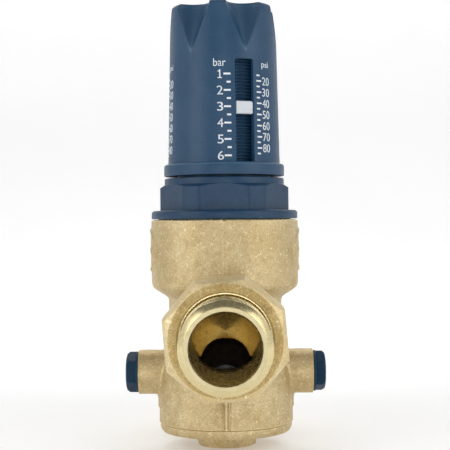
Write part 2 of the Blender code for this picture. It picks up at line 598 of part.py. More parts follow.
def make_seat_insert():
    top = PRESSURE_CHAMBER_LOW + GAP
    guide = PISTON_RADIUS + RUNNING
    profile = [(SEAT_FLANGE_RADIUS, SEAT_FLANGE_HIGH), (SEAT_FLANGE_RADIUS, top), (INSERT_RADIUS, top)]
    profile += groove(INSERT_RADIUS, UPPER_SEAL_MIDDLE)
    profile += groove(INSERT_RADIUS, LOWER_SEAL_MIDDLE)
    profile += [
        (INSERT_RADIUS, INSERT_LOW),
        (SEAT_LIP_RADIUS, INSERT_LOW),
        (SEAT_LIP_RADIUS - 0.6, SEAT_LIP_LOW),
        (ORIFICE_RADIUS, SEAT_LIP_LOW),
        (ORIFICE_RADIUS, INSERT_CAVITY_LOW - 3.0),
        (INSERT_CAVITY_RADIUS, INSERT_CAVITY_LOW),
        (INSERT_CAVITY_RADIUS, INSERT_CAVITY_HIGH),
        (guide, INSERT_CAVITY_HIGH + 1.0),
        (guide, SEAT_FLANGE_HIGH),
    ]
    insert = turned("seat_insert", profile, MEDIUM)
    height = INSERT_WINDOW_HIGH - INSERT_WINDOW_LOW
    middle = (INSERT_WINDOW_HIGH + INSERT_WINDOW_LOW) / 2
    across = 2 * INSERT_RADIUS + 2 * OVERSHOOT
    for i, size in enumerate([(across, INSERT_WINDOW_WIDTH, height), (INSERT_WINDOW_WIDTH, across, height)]):
        cut(insert, box(f"insert_window_cutter_{i + 1}", size, (0, 0, middle)))
    finish(insert, "machined_brass")
    o_ring("insert_seal_upper", seal_radius(INSERT_RADIUS), UPPER_SEAL_MIDDLE)
    o_ring("insert_seal_lower", seal_radius(INSERT_RADIUS), LOWER_SEAL_MIDDLE)


def make_closing_member():
    flat_ring("seal_disc", DISC_RADIUS, STEM_BORE, DISC_LOW, DISC_HIGH, "rubber", COARSE)
    holder = turned("seal_holder", [
        (HOLDER_RADIUS, HOLDER_RIM_HIGH),
        (HOLDER_RADIUS, HOLDER_LOW),
        (STEM_BORE, HOLDER_LOW),
        (STEM_BORE, DISC_LOW - GAP),
        (DISC_RADIUS + GAP, DISC_LOW - GAP),
        (DISC_RADIUS + GAP, HOLDER_RIM_HIGH),
    ], COARSE)
    finish(holder, "machined_brass")
    hexagon_nut("seal_nut", SEAL_NUT_APOTHEM, SEAL_NUT_LOW, HOLDER_LOW - GAP)
    hexagon_nut("stem_nut", STEM_NUT_APOTHEM, STEM_NUT_LOW, STEM_NUT_HIGH)


# ---------------------------------------------------------------- body

def make_valve_body():
    profile = [(0, BODY_TOP), (BOWL_RADIUS - 0.5, BODY_TOP), (BOWL_RADIUS, BODY_TOP - 0.5)]
    profile += [(BOWL_RADIUS, BOWL_EDGE_HIGH), (BOWL_RADIUS - 0.5, BOWL_EDGE_HIGH - 1.2),
                (BOWL_RADIUS - 1.3, BOWL_CONE_HIGH), (BODY_NECK_RADIUS + 0.3, BOWL_CONE_LOW)]
    profile += [(BODY_NECK_RADIUS, BOWL_CONE_LOW - 1.0), (BODY_NECK_RADIUS, SHOULDER_HIGH),
                (BODY_NECK_RADIUS + 1.3, SHOULDER_HIGH - 2.5), (LOWER_BODY_RADIUS - 1.0, SHOULDER_LOW + 2.0),
                (LOWER_BODY_RADIUS, SHOULDER_LOW - 1.5), (LOWER_BODY_RADIUS, BODY_LOW + 0.4),
                (LOWER_BODY_RADIUS - 0.4, BODY_LOW), (0, BODY_LOW)]
    body = turned("valve_body", profile)

    join(body, rod("port_neck_block", (0, -PORT_FACE, FLOW_HEIGHT), (0, PORT_FACE, FLOW_HEIGHT),
                   PORT_THREAD_RADIUS, FINE))
    join(body, rod("gauge_boss_block", (-GAUGE_BOSS_END, 0, GAUGE_HEIGHT), (GAUGE_BOSS_END, 0, GAUGE_HEIGHT),
                   GAUGE_BOSS_RADIUS, COARSE))
    pad = rod("side_pad_block", (-BOWL_RADIUS - PAD_PROUD, 0, 0), (BOWL_RADIUS + PAD_PROUD, 0, 0),
              1.0, COARSE)
    pad.scale = (1.0, PAD_HALF_WIDTH, PAD_HALF_HEIGHT)
    pad.location = (0, 0, PAD_HEIGHT * MM)
    join(body, pad)

    cut(body, turned("bore_cutter", [
        (0, BODY_TOP + OVERSHOOT),
        (BOWL_BORE_RADIUS, BODY_TOP + OVERSHOOT),
        (BOWL_BORE_RADIUS, DIAPHRAGM_SEAT),
        (PRESSURE_CHAMBER_RADIUS, DIAPHRAGM_SEAT),
        (PRESSURE_CHAMBER_RADIUS, PRESSURE_CHAMBER_LOW),
        (CARTRIDGE_BORE_RADIUS, PRESSURE_CHAMBER_LOW),
        (CARTRIDGE_BORE_RADIUS, STRAINER_CHAMBER_HIGH),
        (STRAINER_CHAMBER_RADIUS, STRAINER_CHAMBER_HIGH),
        (STRAINER_CHAMBER_RADIUS, PLUG_BORE_HIGH),
        (PLUG_BORE_RADIUS, PLUG_BORE_HIGH),
        (PLUG_BORE_RADIUS, BODY_LOW - OVERSHOOT),
        (0, BODY_LOW - OVERSHOOT),
    ], FINE, CUTTERS))

    inlet = turned("inlet_passage_cutter", [
        (0, PORT_FACE + OVERSHOOT),
        (PASSAGE_RADIUS, PORT_FACE + OVERSHOOT),
        (PASSAGE_RADIUS, PASSAGE_END),
        (0, DRILL_APEX),
    ], MEDIUM, CUTTERS)
    point(inlet, "inlet", FLOW_HEIGHT)
    cut(body, inlet)
    cut(body, rod("outlet_passage_cutter", (0, OUTLET_PASSAGE_END, FLOW_HEIGHT),
                  (0, PORT_FACE + OVERSHOOT, FLOW_HEIGHT), PASSAGE_RADIUS, MEDIUM))
    cut(body, rod("inlet_drop_cutter", INLET_DROP_START, INLET_DROP_END, INLET_DROP_HALF_WIDTH, MEDIUM,
                  INLET_DROP_ARCH, INLET_DROP_SOLE))
    cut(body, rod("inlet_link_cutter", (0, -22, INLET_LINK_HEIGHT), (0, -12, INLET_LINK_HEIGHT),
                  INLET_LINK_RADIUS, COARSE))
    cut(body, rod("pressure_duct_cutter", (0, PRESSURE_DUCT_OFFSET, FLOW_HEIGHT + 9),
                  (0, PRESSURE_DUCT_OFFSET, DIAPHRAGM_SEAT - 1.5), PRESSURE_DUCT_RADIUS, 12))
    for side in (-1, 1):
        name = "left" if side < 0 else "right"
        cut(body, rod(f"gauge_hole_cutter_{name}", (side * GAUGE_HOLE_END, 0, GAUGE_HEIGHT),
                      (side * (GAUGE_BOSS_END + OVERSHOOT), 0, GAUGE_HEIGHT), GAUGE_HOLE_RADIUS, COARSE))
        cut(body, rod(f"gauge_duct_cutter_{name}", (side * 23.8, -0.5, GAUGE_HEIGHT),
                      (side * 10, 25, FLOW_HEIGHT - 7), DUCT_RADIUS, 8))
    finish(body, "cast_brass")


def make_bottom_plug():
    profile = [(0, PLUG_CUP_FLOOR), (PLUG_CUP_RADIUS, PLUG_CUP_FLOOR), (PLUG_CUP_RADIUS, PLUG_SPIGOT_HIGH),
               (PLUG_SPIGOT_RADIUS - 0.5, PLUG_SPIGOT_HIGH), (PLUG_SPIGOT_RADIUS, PLUG_SPIGOT_HIGH - 0.5)]
    profile += groove(PLUG_SPIGOT_RADIUS, PLUG_GROOVE_MIDDLE)
    profile += [(PLUG_SPIGOT_RADIUS, PLUG_FLANGE_HIGH), (PLUG_FLANGE_RADIUS, PLUG_FLANGE_HIGH),
                (PLUG_FLANGE_RADIUS, PLUG_FLANGE_LOW + 1.0), (PLUG_FLANGE_RADIUS - 0.8, PLUG_FLANGE_LOW),
                (0, PLUG_FLANGE_LOW)]
    plug = turned("bottom_plug", profile)
    corner = PLUG_HEXAGON_APOTHEM / math.cos(math.pi / 6)
    hexagon = prism("plug_hexagon", 6, PLUG_HEXAGON_APOTHEM, 0, PLUG_FLANGE_LOW + 1.0, PLUG_HEXAGON_TURN)
    trim(hexagon, turned("plug_hexagon_corners", [
        (0, PLUG_FLANGE_LOW + 0.8), (corner + 0.5, PLUG_FLANGE_LOW + 0.8), (corner + 0.5, 1.2),
        (corner - 0.8, 0), (0, 0),
    ], MEDIUM, CUTTERS))
    join(plug, hexagon)
    finish(plug, "cast_brass")
    o_ring("bottom_plug_seal", seal_radius(PLUG_SPIGOT_RADIUS), PLUG_GROOVE_MIDDLE)


def make_strainer():
    inner = STRAINER_RADIUS - STRAINER_WALL
    strainer = turned("strainer", [
        (STRAINER_RADIUS, STRAINER_HIGH), (STRAINER_RADIUS, STRAINER_LOW),
        (inner, STRAINER_LOW), (inner, STRAINER_HIGH),
    ], MEDIUM)
    height = STRAINER_SLOT_HIGH - STRAINER_SLOT_LOW
    middle = (STRAINER_SLOT_HIGH + STRAINER_SLOT_LOW) / 2
    for i in range(3):
        slot = box(f"strainer_slot_cutter_{i + 1}", (STRAINER_SLOT_WIDTH, 2 * STRAINER_RADIUS + 4, height),
                   (0, 0, middle))
        cut(strainer, spun(slot, 60 * i))
    finish(strainer, "steel")


# ---------------------------------------------------------------- plugs and unions

def make_gauge_plug(side):
    crown = 1.2
    profile = [
        (0, GAUGE_PLUG_END),
        (GAUGE_PLUG_APOTHEM - 1.2, GAUGE_PLUG_END),
        (GAUGE_PLUG_CORNER_RADIUS, GAUGE_PLUG_END - crown),
        (GAUGE_PLUG_CORNER_RADIUS, GAUGE_PLUG_HEAD_LOW),
        (GAUGE_PLUG_SPIGOT_RADIUS, GAUGE_PLUG_HEAD_LOW),
    ]
    profile += groove(GAUGE_PLUG_SPIGOT_RADIUS, GAUGE_PLUG_GROOVE_MIDDLE)
    profile += [(GAUGE_PLUG_SPIGOT_RADIUS, GAUGE_PLUG_SPIGOT_END), (0, GAUGE_PLUG_SPIGOT_END)]
    plug = turned(f"gauge_plug_{side}", profile, COARSE)
    flats = prism(f"gauge_plug_flats_{side}", 6, GAUGE_PLUG_APOTHEM, GAUGE_PLUG_SPIGOT_END - 1,
                  GAUGE_PLUG_END + 1, GAUGE_PLUG_TURN)
    seal = o_ring(f"gauge_plug_seal_{side}", seal_radius(GAUGE_PLUG_SPIGOT_RADIUS), GAUGE_PLUG_GROOVE_MIDDLE)
    trim(plug, flats)
    for piece in (plug, flats, seal):
        point(piece, side, GAUGE_HEIGHT)
    finish(plug, "plug_plastic")


def make_union(side):
    nut = turned(f"union_nut_{side}", [
        (NUT_RING_RADIUS, NUT_OUTER_END),
        (NUT_APOTHEM / math.cos(math.pi / NUT_SIDES) + 0.1, NUT_CHAMFER_END),
        (NUT_APOTHEM / math.cos(math.pi / NUT_SIDES) + 0.1, NUT_INNER_END + 1.5),
        (NUT_APOTHEM - 0.4, NUT_INNER_END),
        (NUT_THREAD_RADIUS, NUT_INNER_END),
        (NUT_THREAD_RADIUS, NUT_LIP_INNER),
        (NUT_LIP_RADIUS, NUT_LIP_INNER),
        (NUT_LIP_RADIUS, NUT_OUTER_END),
    ])
    flats = prism(f"union_nut_flats_{side}", NUT_SIDES, NUT_APOTHEM, NUT_INNER_END - 1, NUT_OUTER_END + 1,
                  NUT_TURN)
    trim(nut, flats)
    finish(nut, "cast_brass")
    tail = turned(f"tailpiece_{side}", [
        (TAIL_RING_OUTER, TAIL_END),
        (TAIL_RADIUS, TAIL_END - TAIL_CHAMFER),
        (TAIL_RADIUS, TAIL_COLLAR_OUTER),
        (TAIL_COLLAR_RADIUS, TAIL_COLLAR_OUTER),
        (TAIL_COLLAR_RADIUS, TAIL_COLLAR_INNER),
        (TAIL_BORE_RADIUS, TAIL_COLLAR_INNER),
        (TAIL_BORE_RADIUS, TAIL_END - 0.4),
        (TAIL_RING_INNER, TAIL_END),
    ])
    finish(tail, "machined_brass")
    gasket = flat_ring(f"union_gasket_{side}", GASKET_RADIUS, GASKET_BORE_RADIUS, GASKET_INNER, GASKET_OUTER,
                       "gasket_fibre")
    for piece in (nut, flats, tail, gasket):
        point(piece, side, FLOW_HEIGHT)


clear_scene()
PARTS = new_collection("water_pressure_regulator")
CUTTERS = new_collection("cutters")

make_valve_body()
make_bottom_plug()
make_strainer()
make_bonnet()
make_adjusting_cap()
make_cap_screw()
make_indicator_ring()
make_adjusting_spindle()
make_thrust_washer()
make_spring_carrier()
make_pressure_spring()
make_diaphragm_group()
make_valve_stem()
make_seat_insert()
make_closing_member()
for gauge_side in ("left", "right"):
    make_gauge_plug(gauge_side)
for union_side in ("inlet", "outlet"):
    make_union(union_side)
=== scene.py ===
"""Looks of the water pressure regulator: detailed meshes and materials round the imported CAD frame.

Lengths are in millimetres and are scaled by MM when a mesh is made. Heights are above the frame's
origin, and azimuths run from -Y (the inlet side) towards +X.
"""
import json
import math

import bmesh
import bpy
import numpy as np
from mathutils import Matrix, Vector


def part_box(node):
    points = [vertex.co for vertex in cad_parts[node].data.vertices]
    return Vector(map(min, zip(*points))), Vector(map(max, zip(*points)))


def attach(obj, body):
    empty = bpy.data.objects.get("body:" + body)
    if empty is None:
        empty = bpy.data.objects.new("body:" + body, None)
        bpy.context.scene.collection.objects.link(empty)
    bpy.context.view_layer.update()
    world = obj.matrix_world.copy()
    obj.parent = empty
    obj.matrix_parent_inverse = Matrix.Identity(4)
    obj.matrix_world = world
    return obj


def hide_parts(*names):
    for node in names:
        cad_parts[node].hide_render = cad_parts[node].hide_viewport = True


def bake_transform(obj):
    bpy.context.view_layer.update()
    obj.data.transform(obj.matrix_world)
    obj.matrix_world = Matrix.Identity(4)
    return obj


MM = 0.001
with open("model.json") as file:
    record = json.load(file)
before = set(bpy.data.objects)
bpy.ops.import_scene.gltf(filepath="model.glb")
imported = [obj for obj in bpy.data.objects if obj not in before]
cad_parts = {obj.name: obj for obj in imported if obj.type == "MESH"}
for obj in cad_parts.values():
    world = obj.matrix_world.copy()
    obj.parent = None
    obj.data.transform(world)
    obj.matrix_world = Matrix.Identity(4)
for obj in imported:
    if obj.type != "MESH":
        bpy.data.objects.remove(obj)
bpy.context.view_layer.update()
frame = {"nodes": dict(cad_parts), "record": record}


def span(node, axis):
    """Lowest and highest coordinate of a CAD node along one axis, in millimetres."""
    low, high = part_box(node)
    return low[axis] / MM, high[axis] / MM


# ---------------- sizes from the frame
CAP_LOW, CAP_TOP = span("adjusting_cap", 2)
CAP_FLANGE_RADIUS = span("adjusting_cap", 0)[1]
BONNET_LOW, NECK_TOP = span("bonnet", 2)
BONNET_RADIUS = span("bonnet", 0)[1]
BODY_LOW, BODY_TOP = span("valve_body", 2)
PORT_FACE = span("valve_body", 1)[1]
BOSS_END = span("valve_body", 0)[1]
PLUG_TOP = span("bottom_plug", 2)[1]
GAUGE_PLUG_END = span("gauge_plug_right", 0)[1]
GAUGE_HEIGHT = sum(span("gauge_plug_seal_right", 2)) / 2
NUT_INNER_END, NUT_OUTER_END = span("union_nut_outlet", 1)
TAIL_INNER_END, TAIL_END = span("tailpiece_outlet", 1)
FLOW_HEIGHT = sum(span("tailpiece_outlet", 2)) / 2
INDICATOR_LOW, INDICATOR_HIGH = span("indicator_ring", 2)

# ---------------- sizes of the details
WINDOW_AZIMUTHS = (22.4, 142.4, 262.4)
WINDOW_HALF_WIDTH, WINDOW_LOW, WINDOW_HIGH = 3.915, 115.9, 156.7
FLANGE_HIGH = CAP_LOW + 4.9
SIDE_RADIUS, SIDE_DRAFT = 23.1, 1 / 47
FLUTE_COUNT, FLUTE_AZIMUTH, FLUTE_EDGE = 6, 24.4, 0.55
FLUTE_CENTRE, FLUTE_TOP_RADIUS, FLUTE_APEX = 23.2, 9.0, 158.07
NECK_RADIUS, NECK_PITCH, NECK_THREAD_DEPTH = 19.4, 1.35, 0.75
HEXAGON_APOTHEM, HEXAGON_CORNER = 24.7, 26.6
BAR_ONE_HEIGHT, BAR_STEP, PSI_PER_BAR = 150.6, 6.49, 14.504
BAR_WORD_HEIGHT, PSI_WORD_HEIGHT = 155.2, 154.5
PRINT_DEPTH, PRINT_SPLIT = 0.14, 0.6   # thickness of the print, and the width that stays flat on the cap
PIPE_PITCH, PIPE_THREAD_DEPTH = 2.309, 1.3
BOWL_RADIUS, BODY_NECK_RADIUS, LOWER_BODY_RADIUS = 30.3, 23.3, 27.6
PORT_RADIUS, PORT_THREAD_START, PASSAGE_RADIUS = 20.95, 38.6, 13.5
INLET_SHOULDER, DRILL_APEX = 25.7, 17.6
OUTLET_SHOULDER, OUTLET_END = 12.0, 8.0
DROP_START, DROP_END, DROP_HALF_WIDTH = (0, -38, 41.1), (0, -22.1, 31.9), 10.2
DROP_ARCH, DROP_SOLE = 1.294, 0.343   # heights above and below its axis, over the half-width
LINK_START, LINK_END, LINK_RADIUS = (0, -22, 28), (0, -12, 28), 7.0
GAUGE_BOSS_RADIUS, GAUGE_HOLE_RADIUS, GAUGE_HOLE_END = 9.15, 5.9, 23.0
PAD_HEIGHT, PAD_HALF_LENGTH, PAD_HALF_HEIGHT, PAD_PROUD = 80.5, 12.0, 9.0, 0.6
CAST_STEP = 0.52
SPRING_RADIUS, SPRING_WIRE_RADIUS, SPRING_END_TURNS, SPRING_ACTIVE_TURNS = 12.95, 1.7, 1.0, 6.0
DIAPHRAGM_SECTORS, DIAPHRAGM_HOLE_RADIUS, DIAPHRAGM_MIDDLE = 12, 3.8, 73.3


# ---------------- mesh helpers
def add_object(name, data):
    """New object in the scene that holds a mesh, light, camera or text."""
    added = bpy.data.objects.new(name, data)
    bpy.context.scene.collection.objects.link(added)
    return added


def add_mesh(name, points, faces):
    """New object from points in millimetres."""
    mesh = bpy.data.meshes.new(name)
    mesh.from_pydata((np.asarray(points, float) * MM).tolist(), [], faces)
    mesh.update()
    return add_object(name, mesh)


def add_form(name, form):
    """New object from a bmesh, which is freed."""
    mesh = bpy.data.meshes.new(name)
    form.to_mesh(mesh)
    form.free()
    return add_object(name, mesh)


def smooth(piece, angle):
    """Shade smooth, except over edges sharper than an angle in degrees."""
    piece.data.shade_smooth()
    piece.data.set_sharp_from_angle(angle=math.radians(angle))
    return piece


def skin(name, rows, loop=False):
    """Closed surface over rings of points, which join end to end in a loop or end in flat faces."""
    rows = np.asarray(rows, float)
    rings, segments, _ = rows.shape
    index = np.arange(rings * segments).reshape(rings, segments)
    upper = index if loop else index[:-1]
    lower = np.roll(index, -1, axis=0) if loop else index[1:]
    turn = np.roll(upper, -1, axis=1), np.roll(lower, -1, axis=1)
    faces = np.stack([upper, lower, turn[1], turn[0]], axis=-1).reshape(-1, 4).tolist()
    if not loop:
        faces.append(index[0].tolist())
        faces.append(index[-1][::-1].tolist())
    return add_mesh(name, rows.reshape(-1, 3), faces)


def rings(profile, segments, shape=None):
    """Rings about local Z from a profile of (radius, height); shape(azimuth, radius, height) gives
    each ring its own outline."""
    angle = np.linspace(0, math.tau, segments, endpoint=False)
    rows = []
    for radius, height in profile:
        out = np.full(segments, float(radius))
        if shape is not None:
            out = shape(angle, out, float(height))
        rows.append(np.stack([out * np.sin(angle), -out * np.cos(angle), np.full(segments, height)], 1))
    return np.array(rows)


def turned(name, profile, segments, shape=None, loop=True):
    """Piece turned from a profile that is closed on itself or ends in flat faces."""
    return skin(name, rings(profile, segments, shape), loop)


def arc(centre, radius, start, end, count):
    """Points of an arc in a plane, between two angles in degrees."""
    angles = np.radians(np.linspace(start, end, count + 1))
    return [(centre[0] + radius * math.cos(a), centre[1] + radius * math.sin(a)) for a in angles]


def corner_arc(x, z, radius, start):
    """Quarter arc that rounds an outline's corner at (x, z), from a multiple of 90 degrees."""
    centre = x - math.copysign(radius, x), z - (radius if start < 180 else -radius)
    return arc(centre, radius, start, start + 90, 5)


def polar(radius, turn, height):
    """Point at a radius and height, on an azimuth in radians."""
    return radius * math.sin(turn), -radius * math.cos(turn), height


def dense(profile, step):
    """The same profile with no straight stretch longer than step."""
    out = [profile[0]]
    for (r0, z0), (r1, z1) in zip(profile, profile[1:]):
        count = max(1, math.ceil(math.hypot(r1 - r0, z1 - z0) / step))
        out += [(r0 + (r1 - r0) * i / count, z0 + (z1 - z0) * i / count) for i in range(1, count + 1)]
    return out


def wrapped(angle):
    """The same angle between minus and plus half a turn."""
    return (angle + math.pi) % math.tau - math.pi


def soft_min(first, second, width):
    """The lower of two values, with the corner between them rounded over a width."""
    blend = np.clip(0.5 + 0.5 * (second - first) / width, 0, 1)
    return second * (1 - blend) + first * blend - width * blend * (1 - blend)


def polygon(sides, apothem, turn, angle):
    """Radius of a regular polygon at an azimuth; turn is a flat's azimuth in degrees."""
    wedge = math.tau / sides
    off = (angle - math.radians(turn) + wedge / 2) % wedge - wedge / 2
    return apothem / np.cos(off)


def thread(angle, height, pitch, depth, hand=1):
    """Depth of a rounded V thread below its crest."""
    phase = (height / pitch - hand * angle / math.tau) % 1.0
    valley = 1 - np.abs(2 * phase - 1)
    return depth * np.clip((valley - 0.12) / 0.76, 0, 1)


def fade(value, start, end):
    """0 before start, 1 past end, smooth between."""
    t = np.clip((value - start) / (end - start), 0, 1)
    return t * t * (3 - 2 * t)


AIMS = {
    "inlet": Matrix(((1, 0, 0), (0, 0, -1), (0, 1, 0))),
    "outlet": Matrix(((-1, 0, 0), (0, 0, 1), (0, 1, 0))),
    "right": Matrix(((0, 0, 1), (1, 0, 0), (0, 1, 0))),
    "left": Matrix(((0, 0, -1), (-1, 0, 0), (0, 1, 0))),
}


def aim(piece, direction, height):
    """Turn a mesh's local Z towards a horizontal direction, at a height on the valve axis."""
    piece.data.transform(Matrix.Translation((0, 0, height * MM)) @ AIMS[direction].to_4x4())
    return piece


def cylinder(name, start, end, radius, segments, upper=1.0, lower=1.0):
    """Closed cylinder between two points; upper and lower stretch the halves of its section."""
    first, last = Vector(start), Vector(end)
    along = last - first
    piece = turned(name, [(radius, along.length), (radius, 0)], segments, loop=False)
    for vertex in piece.data.vertices:
        vertex.co.y *= upper if vertex.co.y > 0 else lower
    turn = along.to_track_quat("Z", "Y").to_matrix().to_4x4()
    piece.data.transform(Matrix.Translation(first * MM) @ turn)
    return piece


def outward(piece):
    """Turn a closed mesh's faces outwards."""
    form = bmesh.new()
    form.from_mesh(piece.data)
    if form.calc_volume(signed=True) < 0:
        bmesh.ops.reverse_faces(form, faces=form.faces[:])
    form.to_mesh(piece.data)
    form.free()
    return piece


def remove(piece):
    """Drop an object from the scene."""
    bpy.data.objects.remove(piece, do_unlink=True)


def final_mesh(piece):
    """New mesh of a piece or a text as it looks with its modifiers."""
    graph = bpy.context.evaluated_depsgraph_get()
    return bpy.data.meshes.new_from_object(piece.evaluated_get(graph))


def settle(piece):
    """Apply the modifiers."""
    mesh = final_mesh(piece)
    piece.modifiers.clear()
    old = piece.data
    piece.data = mesh
    bpy.data.meshes.remove(old)
    return piece


def boolean(piece, others, operation="DIFFERENCE"):
    """Cut or join other pieces exactly in one pass, and drop them."""
    group = bpy.data.collections.new("operands")
    bpy.context.scene.collection.children.link(group)
    for other in others:
        group.objects.link(other)
    modifier = piece.modifiers.new("boolean", "BOOLEAN")
    modifier.operation = operation
    modifier.solver = "MANIFOLD"
    modifier.material_mode = "TRANSFER"
    modifier.operand_type = "COLLECTION"
    modifier.collection = group
    settle(piece)
    for other in others:
        remove(other)
    bpy.data.collections.remove(group)
    return piece


def joined(name, pieces):
    """One object that holds several pieces' meshes."""
    form = bmesh.new()
    for piece in pieces:
        form.from_mesh(piece.data)
        remove(piece)
    return add_form(name, form)


def vectors(elements, name):
    """A vector property of all a mesh's vertices or faces, one row for each."""
    values = np.empty(len(elements) * 3)
    elements.foreach_get(name, values)
    return values.reshape(-1, 3)


def place_vertices(piece, points):
    """Give a mesh's vertices new places, in metres."""
    piece.data.vertices.foreach_set("co", points.ravel())
    piece.data.update()
    return piece


# ---------------- materials
class Nodes:
    """A Principled material with short calls for its procedural nodes."""

    def __init__(self, name, roughness=0.5, metallic=0.0):
        self.material = bpy.data.materials.new(name)
        self.material.use_nodes = True
        self.tree = self.material.node_tree
        self.shader = self.tree.nodes["Principled BSDF"]
        self.shader.inputs["Roughness"].default_value = roughness
        self.shader.inputs["Metallic"].default_value = metallic
        self.place = self.node("ShaderNodeTexCoord").outputs["Object"]

    def node(self, kind, **values):
        """New node with some inputs set; an underscore in a keyword stands for a space."""
        node = self.tree.nodes.new(kind)
        for name, value in values.items():
            node.inputs[name.replace("_", " ")].default_value = value
        return node

    def link(self, source, target):
        self.tree.links.new(source, target)

    def feed(self, sockets, values):
        """Set each socket to a number or a colour, or link it to another node's output."""
        for socket, value in zip(sockets, values):
            if isinstance(value, (int, float)):
                socket.default_value = value
            elif isinstance(value, tuple):
                socket.default_value = (*value, 1.0)
            else:
                self.link(value, socket)

    def noise(self, size_mm, detail, roughness=0.6, stretch=None):
        """Noise whose features are about this many millimetres wide; stretch scales each axis."""
        place = self.place
        if stretch:
            mapping = self.node("ShaderNodeMapping", Scale=stretch)
            self.link(place, mapping.inputs["Vector"])
            place = mapping.outputs["Vector"]
        node = self.node("ShaderNodeTexNoise", Scale=1 / (size_mm * MM), Detail=detail, Roughness=roughness)
        self.link(place, node.inputs["Vector"])
        return node.outputs["Fac"]

    def cracks(self, size_mm, width):
        """1 on thin lines that wander between cells about this many millimetres wide."""
        bend = self.node("ShaderNodeTexNoise", Scale=1.2 / (size_mm * MM))
        self.link(self.place, bend.inputs["Vector"])
        shift = self.node("ShaderNodeVectorMath")
        shift.operation = "MULTIPLY_ADD"
        shift.inputs[1].default_value = (0.9 * size_mm * MM,) * 3
        self.link(bend.outputs["Color"], shift.inputs[0])
        self.link(self.place, shift.inputs[2])
        node = self.node("ShaderNodeTexVoronoi", Scale=1 / (size_mm * MM))
        node.feature = "DISTANCE_TO_EDGE"
        self.link(shift.outputs[0], node.inputs["Vector"])
        return self.ramp(node.outputs["Distance"], 0.0, width, 1.0, 0.0)

    def ramp(self, value, low, high, out_low=0.0, out_high=1.0):
        """A value from low to high carried over to another range."""
        node = self.node("ShaderNodeMapRange", From_Min=low, From_Max=high, To_Min=out_low, To_Max=out_high)
        self.link(value, node.inputs["Value"])
        return node.outputs["Result"]

    def mix(self, factor, first, second):
        """Colour between two others."""
        node = self.node("ShaderNodeMix")
        node.data_type = "RGBA"
        self.feed((node.inputs[0], node.inputs[6], node.inputs[7]), (factor, first, second))
        return node.outputs[2]

    def product(self, first, second):
        node = self.node("ShaderNodeMath")
        node.operation = "MULTIPLY"
        self.feed(node.inputs[:2], (first, second))
        return node.outputs[0]

    def edges(self, low, high):
        """1 on the mesh's convex edges, between two levels of pointiness."""
        return self.ramp(self.node("ShaderNodeNewGeometry").outputs["Pointiness"], low, high)

    def attribute(self, name):
        """Value that the mesh stores under a name."""
        node = self.node("ShaderNodeAttribute")
        node.attribute_name = name
        return node.outputs["Fac"]

    def colour(self, value):
        self.link(value, self.shader.inputs["Base Color"])

    def roughness(self, size_mm, detail, low, high):
        """Roughness that wanders between two values over this many millimetres."""
        wander = self.ramp(self.noise(size_mm, detail), 0.3, 0.7, low, high)
        self.link(wander, self.shader.inputs["Roughness"])

    def bump(self, height, depth_mm, before=None):
        """Relief of a depth in millimetres, on top of another relief if before gives one."""
        node = self.node("ShaderNodeBump", Strength=1.0, Distance=depth_mm * MM)
        self.link(height, node.inputs["Height"])
        if before is not None:
            self.link(before, node.inputs["Normal"])
        self.link(node.outputs["Normal"], self.shader.inputs["Normal"])
        return node.outputs["Normal"]


def plastic(name, deep, light, edge, grain=0.02, gloss=0.38, rim=None):
    """Moulded plastic: cloudy colour, fine grain and a painted highlight on its edges (along a mesh
    attribute if rim names one).
    """
    m = Nodes(name)
    # painted highlight: edges, from the rim attribute or else the mesh's pointiness, are mixed towards the
    # pale edge colour
    edge_highlight = m.attribute(rim) if rim else m.edges(0.53, 0.60)
    cloud = m.mix(m.ramp(m.noise(14, 2), 0.35, 0.65), deep, light)
    speck = m.mix(m.ramp(m.noise(0.45, 2, 0.8), 0.52, 0.70, 0, 0.22), cloud, edge)
    m.colour(m.mix(m.product(edge_highlight, 0.7), speck, edge))
    m.roughness(1.2, 3, 0.34, 0.48)
    coarse = m.bump(m.noise(0.9, 2), grain * 2)
    m.bump(m.noise(0.22, 2), grain, before=coarse)
    m.shader.inputs["Specular IOR Level"].default_value = gloss
    return m.material


def cast_brass(name, dark, middle, light, rough=(0.42, 0.62), grain=0.05, metallic=0.86, rub_and_highlight=(0.53, 0.62)):
    """Blasted forging: sandy grain, darker stains, painted glints, hairlines, and edges made paler partly by
    wear and partly as a painted highlight.
    """
    # pale brass for the hairlines, the painted glints and the paler edges
    edge = 0.93, 0.80, 0.53
    m = Nodes(name, metallic=metallic)
    patch = m.mix(m.ramp(m.noise(11, 3), 0.36, 0.66), middle, light)
    stain = m.mix(m.ramp(m.noise(4.2, 5, 0.7), 0.52, 0.72, 0, 0.65), patch, dark)
    sand = m.mix(m.ramp(m.noise(0.55, 3, 0.7), 0.38, 0.62, 0, 0.55), stain, dark)
    # painted glints: tiny bright specks of pale brass over the sand
    glint = m.mix(m.ramp(m.noise(0.42, 2, 0.8), 0.60, 0.72, 0, 0.75), sand, edge)
    hairline = m.product(m.cracks(3.4, 0.04), m.ramp(m.noise(1.7, 2), 0.53, 0.62))
    worn = m.mix(m.product(hairline, 0.9), glint, edge)
    # convex edges made paler: partly wear, partly a painted highlight
    m.colour(m.mix(m.product(m.edges(*rub_and_highlight), 0.7), worn, edge))
    m.roughness(0.8, 3, *rough)
    coarse = m.bump(m.noise(1.3, 3), grain * 1.6)
    m.bump(m.noise(0.38, 3, 0.7), grain, before=coarse)
    return m.material


